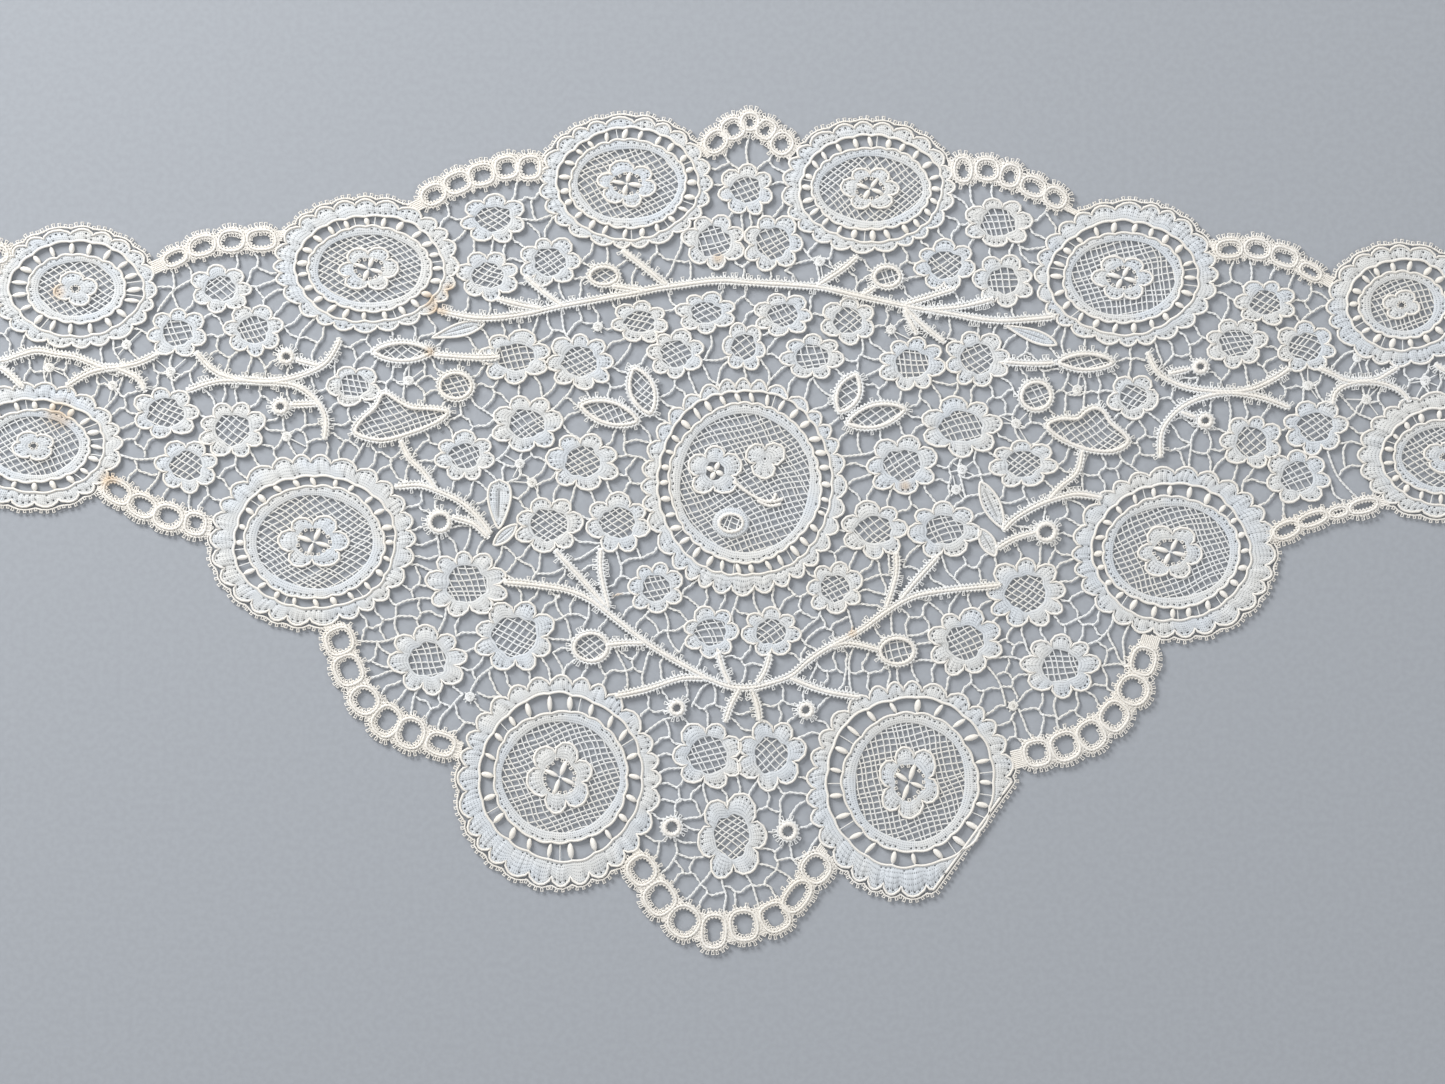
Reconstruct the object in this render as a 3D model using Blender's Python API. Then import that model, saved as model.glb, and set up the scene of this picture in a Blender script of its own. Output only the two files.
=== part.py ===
# Mixed lace lappet lying flat: medallions, sprigged ground with bars, and ringed edging runs.
# Metres, +Z up. The origin is under the middle of the lace, which lies on z = 0.
# +X runs along the lappet and +Y towards its narrow peak.
# The motifs stand on a maker's pricking chart, whose squares count right and down.

import math

import bmesh
import bpy
import numpy as np
from mathutils.geometry import delaunay_2d_cdt

# Real sizes, in metres
chartSquare = 0.00019
sheetHeight = 0.0010
petalRise = 0.0005
stemRise = 0.0007
stemWidth = 0.0017
barWidth = 0.00070
pieceGap = 0.0003
smallestGap = 0.0042
ringWall = 0.0015

# The chart, in squares
chartMiddleX = 741.0
chartMiddleY = 529.0
chartLeft = -330
chartRight = 1812
chartTop = 90
chartBottom = 974
fieldStep = 2
fieldEmpty = 60.0
stampMargin = 8
barCell = 960.0
barBow = 0.09
endReach = 5.0
edgeTolerance = 1.6
gapTolerance = 2.3
straightTolerance = 0.3
scallopDepth = 0.05
petalDepth = 0.17
flowerStep = 17.0
crestInset = 3.0
crestSpacing = 15.0
mirrorSum = 1482
mirrorDrop = 12

# name: x, y, half width, half height, scallops,
#       ring x, ring y, ring half width, ring half height, flower half width, flower half height
medallions = {
    "centre": (744, 487, 104, 110, 32, 745, 483, 76, 80, 0, 0),
    "top_left": (626, 183, 88, 67, 23, 628, 184, 59, 45, 30, 22),
    "top_right": (868, 188, 88, 67, 23, 871, 189, 60, 42, 28, 22),
    "upper_left": (367, 266, 94, 68, 24, 370, 269, 62, 43, 30, 22),
    "upper_right": (1126, 275, 93, 73, 24, 1123, 278, 61, 46, 30, 22),
    "lower_left": (313, 540, 104, 87, 26, 315, 542, 70, 57, 34, 27),
    "lower_right": (1174, 552, 103, 87, 26, 1171, 552, 69, 56, 33, 26),
    "bottom_left": (559, 781, 103, 107, 28, 561, 777, 68, 67, 32, 35),
    "bottom_right": (911, 788, 106, 109, 29, 910, 782, 68, 70, 30, 36),
    "band_left_upper": (75, 289, 84, 61, 21, 77, 289, 50, 35, 23, 17),
    "band_left_lower": (35, 445, 89, 64, 22, 35, 446, 56, 37, 22, 16),
    "band_right_upper": (1401, 306, 76, 62, 20, 1402, 305, 44, 34, 20, 15),
    "band_right_lower": (1443, 455, 87, 64, 22, 1445, 457, 53, 38, 22, 17),
    "tip_left": (-215, 368, 86, 76, 22, -215, 368, 58, 50, 29, 25),
    "tip_right": (1697, 380, 86, 76, 22, 1697, 380, 58, 50, 29, 25),
}
# The lower right medallion is drawn straight along one side: name, x, y, way out in degrees
straightSides = [("bottom_right", 984, 822, 36)]

# x, y, half width, half height, petals
flowers = [
    (221, 289, 30, 25, 7), (178, 333, 29, 26, 7), (254, 330, 30, 26, 7), (166, 413, 32, 27, 7),
    (233, 430, 33, 29, 8), (187, 466, 31, 27, 7), (354, 386, 26, 22, 5), (494, 219, 33, 25, 7),
    (488, 276, 30, 26, 7), (550, 262, 30, 26, 7), (746, 190, 28, 26, 7), (714, 242, 30, 29, 7),
    (773, 243, 30, 29, 7), (640, 322, 28, 22, 7), (706, 313, 29, 22, 7), (783, 315, 30, 22, 7),
    (848, 321, 27, 25, 6), (676, 354, 28, 25, 7), (744, 347, 22, 25, 6), (812, 357, 30, 24, 7),
    (515, 357, 36, 27, 7), (580, 362, 33, 29, 8), (912, 364, 32, 28, 8), (977, 359, 33, 28, 8),
    (998, 223, 33, 26, 7), (945, 265, 30, 26, 7), (1003, 281, 30, 27, 7), (527, 424, 34, 30, 7),
    (465, 456, 30, 25, 7), (583, 462, 35, 30, 7), (549, 525, 33, 29, 7), (618, 523, 32, 30, 7),
    (467, 584, 39, 35, 9), (515, 636, 40, 36, 8), (428, 660, 38, 35, 8), (656, 588, 27, 27, 7),
    (711, 632, 28, 26, 7), (771, 632, 28, 26, 7), (835, 588, 28, 27, 7), (874, 530, 33, 29, 7),
    (944, 530, 34, 30, 7), (902, 465, 36, 30, 7), (961, 427, 39, 31, 7), (1023, 464, 33, 25, 7),
    (1026, 593, 40, 35, 9), (1060, 666, 37, 33, 8), (965, 642, 37, 34, 8), (708, 755, 35, 34, 7),
    (771, 755, 33, 37, 7), (732, 836, 35, 43, 6), (1265, 303, 30, 24, 7), (1236, 343, 30, 26, 7),
    (1305, 347, 30, 26, 7), (1251, 442, 30, 28, 7), (1315, 427, 32, 28, 7), (1297, 477, 32, 28, 7),
    (1133, 397, 25, 24, 5),
]
# The same columns, for the two band ends beyond the chart's edge; the right end is turned over
endFlowers = [(-42, 303, 30, 26, 7), (-102, 312, 31, 26, 7), (-68, 412, 31, 27, 7), (-124, 440, 29, 24, 7)]

# x, y, half width, half height of the oval buds with net, then of the little ring buds
netBuds = [
    (604, 276, 18, 13), (887, 277, 17, 14), (456, 386, 20, 17), (1036, 396, 19, 18), (591, 647, 21, 18),
    (897, 651, 21, 17),
]
ringBuds = [
    (287, 357, 12, 11), (281, 407, 12, 11), (1200, 367, 12, 11), (1205, 421, 12, 11), (440, 522, 15, 14),
    (1046, 532, 15, 14), (677, 708, 14, 14), (806, 710, 13, 13), (672, 827, 14, 14), (788, 831, 14, 14),
    (598, 327, 8, 7), (891, 330, 8, 7), (470, 697, 9, 8), (1013, 706, 9, 8),
]

# x and y of the two ends, then half width
leaves = [
    (370, 352, 436, 352, 13), (1054, 362, 1118, 362, 12), (633, 364, 652, 418, 16), (577, 404, 642, 422, 15),
    (858, 371, 838, 416, 15), (843, 424, 909, 408, 15), (433, 335, 486, 323, 8), (1004, 325, 1057, 344, 8),
    (505, 481, 493, 528, 11), (494, 541, 519, 524, 9), (981, 483, 1003, 528, 9), (976, 530, 994, 557, 10),
    (445, 414, 354, 431, 17), (389, 395, 392, 440, 18), (1043, 422, 1127, 441, 17),
    (1099, 409, 1096, 452, 18),
]

# The raised stems, each a run of x, y points
stems = [
    [(438, 311), (476, 318), (515, 316), (563, 306), (630, 294), (668, 287), (719, 281), (751, 283),
     (815, 287), (858, 296), (904, 306), (945, 313), (998, 321), (1055, 317)],
    [(497, 299), (520, 305), (543, 309)],
    [(525, 276), (543, 292), (563, 306)],
    [(622, 250), (640, 264), (668, 286)],
    [(612, 286), (645, 291)],
    [(817, 286), (843, 269), (858, 256)],
    [(863, 295), (876, 287)],
    [(904, 305), (930, 297), (955, 289)],
    [(925, 310), (960, 307), (993, 299)],
    [(904, 307), (922, 325), (945, 343)],
    [(904, 310), (917, 335)],
    [(434, 355), (475, 358), (500, 357)],
    [(1004, 362), (1030, 364), (1055, 363)],
    [(-130, 368), (-60, 364), (0, 359), (52, 355), (92, 362), (129, 367), (159, 354)],
    [(67, 386), (92, 372), (120, 367)],
    [(-10, 362), (8, 372), (24, 388)],
    [(116, 368), (138, 378), (146, 392)],
    [(196, 352), (220, 374), (260, 382), (294, 378), (324, 365), (337, 347), (340, 338)],
    [(187, 391), (220, 381), (260, 382), (294, 385), (315, 399), (326, 417), (325, 440)],
    [(290, 405), (318, 404)],
    [(296, 360), (320, 366)],
    [(1147, 352), (1160, 375), (1193, 389), (1241, 391), (1270, 381), (1290, 368)],
    [(1160, 458), (1162, 430), (1182, 407), (1216, 394), (1255, 396), (1290, 408)],
    [(1168, 374), (1190, 369)],
    [(1180, 412), (1196, 418)],
    [(1312, 370), (1355, 383), (1380, 377), (1420, 376), (1482, 371), (1540, 375), (1612, 380)],
    [(1330, 403), (1345, 388), (1377, 383), (1404, 391)],
    [(395, 487), (419, 485), (438, 491), (461, 502), (479, 518), (491, 534)],
    [(401, 440), (410, 459), (422, 470), (436, 489)],
    [(452, 517), (474, 524), (489, 538)],
    [(1102, 498), (1077, 494), (1054, 499), (1032, 508), (1013, 520), (1003, 531)],
    [(1082, 450), (1077, 472), (1061, 486), (1048, 500)],
    [(1036, 532), (1013, 539), (996, 549)],
    [(504, 582), (545, 586), (582, 595), (616, 619), (647, 643), (682, 664), (719, 683), (746, 688),
     (774, 682), (792, 675), (808, 661), (829, 647), (861, 630), (890, 609), (918, 595), (960, 589),
     (1000, 585)],
    [(555, 550), (580, 577), (606, 606)],
    [(601, 548), (601, 572), (609, 608)],
    [(938, 556), (913, 584), (900, 600)],
    [(896, 552), (896, 575), (886, 608)],
    [(606, 645), (625, 643), (645, 643)],
    [(615, 696), (647, 689), (682, 678), (708, 678)],
    [(790, 678), (810, 686), (829, 692), (860, 697)],
    [(829, 647), (849, 643), (880, 650)],
    [(740, 688), (732, 703), (725, 722)],
    [(751, 688), (757, 704), (760, 722)],
    [(718, 652), (723, 669), (730, 684)],
    [(770, 654), (765, 671), (757, 684)],
    [(-60, 364), (-52, 345), (-48, 325)],
    [(-88, 366), (-98, 350), (-101, 334)],
    [(-60, 364), (-68, 380), (-68, 392)],
    [(1544, 377), (1534, 357), (1530, 337)],
    [(1570, 378), (1580, 362), (1583, 346)],
    [(1544, 377), (1550, 392), (1550, 404)],
]

# Half width of the hole, then the middle of each ring, for each run of the edging
edgingRuns = {
    "left_end_upper": (9, [(-164, 288), (-138, 274), (-113, 263), (-87, 255), (-59, 250), (-31, 250),
                           (-3, 254)]),
    "left_top": (9, [(176, 258), (203, 246), (232, 241), (262, 240)]),
    "upper_left": (8, [(434, 195), (458, 183), (482, 175), (507, 168), (530, 168)]),
    "peak": (6, [(716, 142), (733, 129), (750, 122), (766, 130), (782, 144)]),
    "upper_right": (8, [(963, 170), (987, 170), (1010, 176), (1033, 187), (1055, 198)]),
    "right_top": (9, [(1229, 249), (1257, 249), (1284, 257), (1310, 272)]),
    "right_bottom": (9, [(1363, 506), (1338, 512), (1312, 519), (1286, 530)]),
    "bottom_right": (10, [(1143, 661), (1133, 690), (1114, 716), (1091, 735), (1065, 746), (1037, 753)]),
    "bottom_tip": (10, [(816, 868), (797, 896), (775, 917), (744, 925), (714, 931), (684, 921),
                        (660, 898), (642, 870)]),
    "bottom_left": (10, [(441, 744), (411, 733), (387, 721), (365, 700), (349, 670), (340, 641)]),
    "left_bottom": (9, [(196, 524), (169, 517), (143, 506), (118, 492)]),
    "left_end_lower": (9, [(-36, 497), (-66, 496), (-96, 490), (-125, 480), (-152, 465), (-173, 446)]),
}
mirroredRuns = {"right_end_upper": "left_end_upper", "right_end_lower": "left_end_lower"}

# Bars drawn on the chart itself, where motifs lie too close for a cell of their own
chartedBars = [(745, 208, 744, 240), (735, 212, 726, 222), (760, 208, 768, 222)]

# The order of the pieces around the lace's edge, which its ground fills
edgeOrder = [
    "tip_left", "left_end_upper", "band_left_upper", "left_top", "upper_left*", "upper_left", "top_left",
    "peak", "top_right", "upper_right", "upper_right*", "right_top", "band_right_upper",
    "right_end_upper", "tip_right", "right_end_lower", "band_right_lower", "right_bottom", "lower_right",
    "bottom_right", "bottom_right*", "bottom_tip", "bottom_left*", "bottom_left", "lower_left",
    "left_bottom", "band_left_lower", "left_end_lower",
]

# A medallion's relief, step by step: from which oval, squares outwards, rise, points, turn
medallionRelief = [
    ("outline", -11, petalRise, 13, 0.0),
    ("ring", 5, 0.0, 10, 0.1),
    ("ring", -5, petalRise, 11, 0.0),
    ("ring", -14, 0.0, 8, 0.2),
    ("flower", -5, petalRise, 5, 0.0),
]
# The motifs inside the centre medallion: x, y, half width, half height, points
centreMotifs = [(715, 471, 19, 19, 6), (764, 458, 12, 10, 4), (732, 523, 12, 10, 5)]

# Colours, roughness
ivory = ((0.83, 0.79, 0.73), 0.85)
clothWhite = ((0.80, 0.80, 0.80), 0.90)


def squares(metres):
    return metres / chartSquare


def mirrorPoint(x, y):
    return mirrorSum - x, y + mirrorDrop


def gridAxes():
    xs = np.arange(chartLeft, chartRight + 1, fieldStep, dtype=float)
    ys = np.arange(chartTop, chartBottom + 1, fieldStep, dtype=float)
    return xs, ys


gridXs, gridYs = gridAxes()


def emptyField():
    return np.full((len(gridYs), len(gridXs)), fieldEmpty)


def stamp(field, low, high, measure):
    """Lower the field to what measure gives, inside the box from low to high."""
    i0 = max(int((low[0] - stampMargin - chartLeft) / fieldStep), 0)
    i1 = int((high[0] + stampMargin - chartLeft) / fieldStep) + 2
    j0 = max(int((low[1] - stampMargin - chartTop) / fieldStep), 0)
    j1 = int((high[1] + stampMargin - chartTop) / fieldStep) + 2
    x, y = np.meshgrid(gridXs[i0:i1], gridYs[j0:j1])
    window = field[j0:j1, i0:i1]
    np.minimum(window, measure(x, y), out=window)


def lobedEdge(angle, lobes, turn, depth):
    """Radius of a scalloped outline whose lobes reach 1."""
    return 1.0 - depth * (1.0 - np.abs(np.cos(lobes * (angle - turn) / 2.0)) ** 0.8)


def stampLobed(field, x, y, halfWidth, halfHeight, lobes, turn, depth):
    def measure(gx, gy):
        dx = (gx - x) / halfWidth
        dy = (gy - y) / halfHeight
        edge = lobedEdge(np.arctan2(dy, dx), lobes, turn, depth)
        return (np.hypot(dx, dy) - edge) * min(halfWidth, halfHeight)
    stamp(field, (x - halfWidth, y - halfHeight), (x + halfWidth, y + halfHeight), measure)


def stampStroke(field, route, halfWidths):
    """A stroke along a route, as wide at each point as halfWidths says."""
    for (x0, y0), (x1, y1), w0, w1 in zip(route, route[1:], halfWidths, halfWidths[1:]):
        wide = max(w0, w1)

        def measure(gx, gy):
            span = max((x1 - x0) ** 2 + (y1 - y0) ** 2, 1e-9)
            t = np.clip(((gx - x0) * (x1 - x0) + (gy - y0) * (y1 - y0)) / span, 0.0, 1.0)
            away = np.hypot(gx - x0 - t * (x1 - x0), gy - y0 - t * (y1 - y0))
            return away - (w0 + t * (w1 - w0))
        low = (min(x0, x1) - wide, min(y0, y1) - wide)
        high = (max(x0, x1) + wide, max(y0, y1) + wide)
        stamp(field, low, high, measure)


def smoothRoute(points, perSpan=4):
    """Points read from a Catmull-Rom curve through the given ones."""
    if len(points) < 3:
        return [tuple(map(float, point)) for point in points]
    ends = [points[0]] + list(points) + [points[-1]]
    route = []
    for before, start, end, after in zip(ends, ends[1:], ends[2:], ends[3:]):
        for step in range(perSpan):
            t = step / perSpan
            a, b, c, d = (np.array(point, float) for point in (before, start, end, after))
            place = b + 0.5 * t * (c - a) + t * t * (a - 2.5 * b + 2 * c - 0.5 * d)
            place = place + t ** 3 * (1.5 * b - 1.5 * c + 0.5 * d - 0.5 * a)
            route.append((float(place[0]), float(place[1])))
    route.append(tuple(map(float, points[-1])))
    return route


def leafRoute(x0, y0, x1, y1, halfWidth):
    """A leaf's spine and half widths: pointed at both ends."""
    count = 7
    spine = [(x0 + (x1 - x0) * i / (count - 1), y0 + (y1 - y0) * i / (count - 1)) for i in range(count)]
    swell = [0.12 + 0.88 * math.sin(math.pi * (i + 0.35) / (count - 0.3)) ** 0.8 for i in range(count)]
    inset = 0.12
    middle = ((x0 + x1) / 2, (y0 + y1) / 2)
    spine = [(x + (middle[0] - x) * inset, y + (middle[1] - y) * inset) for x, y in spine]
    return spine, [halfWidth * value for value in swell]


def flowerTurn(index):
    return math.radians(flowerStep * index)


def allFlowers():
    mirrored = [mirrorPoint(row[0], row[1]) + row[2:] for row in endFlowers]
    return flowers + endFlowers + mirrored


def allRuns():
    runs = dict(edgingRuns)
    for name, source in mirroredRuns.items():
        holeHalf, points = edgingRuns[source]
        runs[name] = (holeHalf, [mirrorPoint(x, y) for x, y in points])
    return runs


def medallionField(name):
    field = emptyField()
    x, y, halfWidth, halfHeight, scallops = medallions[name][:5]
    stampLobed(field, x, y, halfWidth, halfHeight, scallops, 0.0, scallopDepth)
    for owner, sideX, sideY, wayOut in straightSides:
        if owner == name:
            out = math.radians(wayOut)
            beyond = (gridXs[None, :] - sideX) * math.cos(out) + (gridYs[:, None] - sideY) * math.sin(out)
            field = np.maximum(field, beyond)
    return field


def runField(holeHalf, points):
    field = emptyField()
    half = holeHalf + squares(ringWall)
    stampStroke(field, points, [half] * len(points))
    return field


def sprigField():
    """Flowers, leaves, buds and stems, which the ground's bars join."""
    field = emptyField()
    for index, (x, y, halfWidth, halfHeight, petals) in enumerate(allFlowers()):
        stampLobed(field, x, y, halfWidth, halfHeight, petals, flowerTurn(index), petalDepth)
    for x, y, halfWidth, halfHeight in netBuds + ringBuds:
        stampLobed(field, x, y, halfWidth, halfHeight, 2, 0.0, 0.0)
    for row in leaves:
        spine, halfWidths = leafRoute(*row)
        stampStroke(field, spine, halfWidths)
    half = squares(stemWidth) / 2
    for points in stems:
        route = smoothRoute(points)
        stampStroke(field, route, [half] * len(route))
    return field


def insidePolygon(xs, ys, polygon):
    """Even-odd test of grid points against a closed polygon."""
    inside = np.zeros(np.broadcast(xs, ys).shape, bool)
    for (x0, y0), (x1, y1) in zip(polygon, polygon[1:] + polygon[:1]):
        if y0 == y1:
            continue
        crosses = ((y0 > ys) != (y1 > ys)) & (xs < x0 + (ys - y0) * (x1 - x0) / (y1 - y0))
        inside ^= crosses
    return inside


def groundOutline():
    """The closed line through the middles of the edge's medallions and rings."""
    runs = allRuns()
    line = []
    for name in edgeOrder:
        plain = name.rstrip("*")
        isMedallion = plain in medallions and (name.endswith("*") or plain not in runs)
        stops = [medallions[plain][:2]] if isMedallion else runs[plain][1]
        if line and not isMedallion:
            last = np.array(line[-1], float)
            ends = [np.hypot(*(np.array(stops[k], float) - last)) for k in (0, -1)]
            stops = stops if ends[0] <= ends[1] else stops[::-1]
        line.extend(stops)
    return line


def labelRegions(mask):
    """Number the separate regions of a mask, neighbours sharing an edge."""
    labels = np.zeros(mask.shape, int)
    height, width = mask.shape
    count = 0
    for start in zip(*np.nonzero(mask)):
        if labels[start]:
            continue
        count += 1
        labels[start] = count
        stack = [start]
        while stack:
            j, i = stack.pop()
            for nj, ni in ((j + 1, i), (j - 1, i), (j, i + 1), (j, i - 1)):
                if 0 <= nj < height and 0 <= ni < width and mask[nj, ni] and not labels[nj, ni]:
                    labels[nj, ni] = count
                    stack.append((nj, ni))
    return labels, count


def spreadSeeds(places, count):
    """Even seeds over a pocket of free places: farthest first, then evened out."""
    middle = places.mean(axis=0)
    nearest = np.hypot(*(places - middle).T)
    seeds = [places[int(np.argmax(nearest))]]
    away = np.hypot(*(places - seeds[0]).T)
    while len(seeds) < count:
        seeds.append(places[int(np.argmax(away))])
        away = np.minimum(away, np.hypot(*(places - seeds[-1]).T))
    seeds = np.array(seeds)
    for evening in range(7):
        owner = nearestSeed(places, seeds)
        for k in range(count):
            if (owner == k).any():
                seeds[k] = places[owner == k].mean(axis=0)
    return seeds, nearestSeed(places, seeds)


def nearestSeed(places, seeds):
    owner = np.zeros(len(places), int)
    for start in range(0, len(places), 4000):
        block = places[start:start + 4000]
        away = (block[:, None, 0] - seeds[None, :, 0]) ** 2 + (block[:, None, 1] - seeds[None, :, 1]) ** 2
        owner[start:start + 4000] = away.argmin(axis=1)
    return owner


def fieldAt(field, x, y):
    i = int(round((x - chartLeft) / fieldStep))
    j = int(round((y - chartTop) / fieldStep))
    return field[min(max(j, 0), field.shape[0] - 1), min(max(i, 0), field.shape[1] - 1)]


def bridgeBars(motifField):
    """Bars between the cells that the free ground is shared into."""
    outline = groundOutline()
    free = (motifField > 0) & insidePolygon(gridXs[None, :], gridYs[:, None], outline)
    pockets, pocketCount = labelRegions(free)
    owners = np.full(free.shape, -1)
    allSeeds = []
    for pocket in range(1, pocketCount + 1):
        js, iss = np.nonzero(pockets == pocket)
        cells = int(round(len(js) * fieldStep ** 2 / barCell))
        if cells < 2:
            continue
        places = np.stack([gridXs[iss], gridYs[js]], axis=1)
        seeds, owner = spreadSeeds(places, cells)
        owners[js, iss] = owner + len(allSeeds)
        allSeeds.extend(seeds)
    borders = {}
    half = fieldStep / 2
    for dj, di in ((0, 1), (1, 0)):
        a = owners[:owners.shape[0] - dj, :owners.shape[1] - di]
        b = owners[dj:, di:]
        for j, i in zip(*np.nonzero((a >= 0) & (b >= 0) & (a != b))):
            pair = (min(a[j, i], b[j, i]), max(a[j, i], b[j, i]))
            borders.setdefault(pair, []).append((gridXs[i] + di * half, gridYs[j] + dj * half))
    bars = []
    for (one, other), points in sorted(borders.items()):
        bars.extend(borderBars(np.array(allSeeds[one]), np.array(allSeeds[other]), np.array(points)))
    return settleBars(bars, motifField)


def borderBars(one, other, points):
    """Straight bars along the border line between two cells."""
    across = other - one
    along = np.array([-across[1], across[0]]) / max(np.hypot(*across), 1e-9)
    middle = (one + other) / 2
    reach = np.sort((points - middle) @ along)
    breaks = np.nonzero(np.diff(reach) > 3 * fieldStep)[0] + 1
    bars = []
    for stretch in np.split(reach, breaks):
        if stretch[-1] - stretch[0] >= 2 * fieldStep:
            bars.append([middle + along * stretch[0], middle + along * stretch[-1]])
    return bars


def settleBars(bars, motifField):
    """Bring bar ends together at their crossings, and run the other ends into the motifs."""
    inMotif = -1.5
    longestRun = 8
    ends = np.array([end for bar in bars for end in bar])
    settled = ends.copy()
    for k, end in enumerate(ends):
        near = np.hypot(*(ends - end).T) < endReach
        if near.sum() > 1:
            settled[k] = ends[near].mean(axis=0)
    rows = []
    for k in range(0, len(ends), 2):
        start, stop = settled[k], settled[k + 1]
        run = stop - start
        length = float(np.hypot(*run))
        if length < fieldStep:
            continue
        for side, way in ((0, -1.0), (1, 1.0)):
            if np.array_equal(settled[k + side], ends[k + side]):
                point = settled[k + side]
                for step in range(longestRun):
                    if fieldAt(motifField, *point) < inMotif:
                        break
                    point = point + way * run / length
                if side == 0:
                    start = point
                else:
                    stop = point
        bow = barBow * (1 if (k // 2) % 2 else -1)
        rows.append((start[0], start[1], stop[0], stop[1], bow))
    return rows


def barRoute(x0, y0, x1, y1, bow):
    """A slightly bowed bar, as points."""
    route = []
    for step in range(5):
        t = step / 4
        lift = bow * 4 * t * (1 - t)
        route.append((x0 + (x1 - x0) * t - (y1 - y0) * lift, y0 + (y1 - y0) * t + (x1 - x0) * lift))
    return route


def contourLoops(field):
    """Closed loops where the field changes sign, with the solid on their left."""
    solid = field < 0
    code = solid[:-1, :-1] * 1 + solid[:-1, 1:] * 2 + solid[1:, 1:] * 4 + solid[1:, :-1] * 8
    # Which side each stretch enters and leaves by: 0 top, 1 right, 2 bottom, 3 left
    crossings = {
        1: [(3, 0)], 2: [(0, 1)], 3: [(3, 1)], 4: [(1, 2)], 5: [(3, 0), (1, 2)], 6: [(0, 2)], 7: [(3, 2)],
        8: [(2, 3)], 9: [(2, 0)], 10: [(0, 1), (2, 3)], 11: [(2, 1)], 12: [(1, 3)], 13: [(1, 0)],
        14: [(0, 3)],
    }
    following = {}
    for j, i in zip(*np.nonzero((code > 0) & (code < 15))):
        sides = ((j, i, 0), (j, i + 1, 1), (j + 1, i, 0), (j, i, 1))
        for enter, leave in crossings[int(code[j, i])]:
            following[sides[enter]] = sides[leave]

    def place(key):
        j, i, upright = key
        j2, i2 = (j + 1, i) if upright else (j, i + 1)
        t = field[j, i] / (field[j, i] - field[j2, i2])
        t = min(max(t, 0.05), 0.95)
        x = gridXs[i] + (gridXs[i2] - gridXs[i]) * t
        y = gridYs[j] + (gridYs[j2] - gridYs[j]) * t
        return x, y
    loops = []
    while following:
        first = next(iter(following))
        loop = []
        key = first
        while key in following:
            loop.append(place(key))
            key = following.pop(key)
        loops.append(np.array(loop))
    return loops


def loopArea(loop):
    ahead = np.roll(loop, -1, axis=0)
    return 0.5 * float(np.sum(loop[:, 0] * ahead[:, 1] - loop[:, 1] * ahead[:, 0]))


def trimLoop(loop, tolerance):
    """Keep only the points that the loop's shape needs."""
    far = int(np.argmax(np.hypot(*(loop - loop[0]).T)))
    keep = {0, far}
    closed = np.vstack([loop, loop[:1]])
    spans = [(0, far), (far, len(loop))]
    while spans:
        a, b = spans.pop()
        if b - a < 2:
            continue
        run = closed[b] - closed[a]
        length = max(float(np.hypot(*run)), 1e-9)
        offset = closed[a + 1:b] - closed[a]
        away = np.abs(offset[:, 0] * run[1] - offset[:, 1] * run[0]) / length
        worst = int(np.argmax(away))
        if away[worst] > tolerance:
            keep.add(a + 1 + worst)
            spans.extend([(a, a + 1 + worst), (a + 1 + worst, b)])
    return closed[sorted(keep)]


def largestPart(field):
    """Only the largest connected part of what the field holds."""
    labels, count = labelRegions(field < 0)
    sizes = np.bincount(labels.ravel())
    sizes[0] = 0
    kept = int(np.argmax(sizes))
    return np.where((field < 0) & (labels != kept), 1.0, field)


def smallestGapArea():
    return math.pi / 4 * squares(smallestGap) ** 2


def fillSmallGaps(field, everything):
    """Close the gaps of the whole lace that are too small to cut."""
    labels, count = labelRegions(everything > 0)
    sizes = np.bincount(labels.ravel(), minlength=count + 1) * fieldStep ** 2
    small = sizes < smallestGapArea()
    small[0] = False
    return np.where(small[labels], -float(fieldStep), field)


def triangulate(loops, crests):
    """Triangles that fill between the loops and pass through the crest points."""
    points = [tuple(point) for loop in loops for point in loop]
    edges = []
    start = 0
    for loop in loops:
        count = len(loop)
        edges.extend((start + k, start + (k + 1) % count) for k in range(count))
        start += count
    points.extend((x, y) for x, y, rise in crests)
    result = delaunay_2d_cdt(points, edges, [], 0, 1e-7)
    if len(result[0]) != len(points):
        return None
    order = [sources[0] for sources in result[3]]
    faces = [[order[k] for k in face] for face in result[2]]
    corners = np.array(points)[np.array(faces)]
    middle = corners.mean(axis=1)
    inside = np.zeros(len(middle), bool)
    for loop in loops:
        inside ^= insidePolygon(middle[:, 0], middle[:, 1], [tuple(point) for point in loop])
    return [face for face, within in zip(faces, inside) if within]


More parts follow.
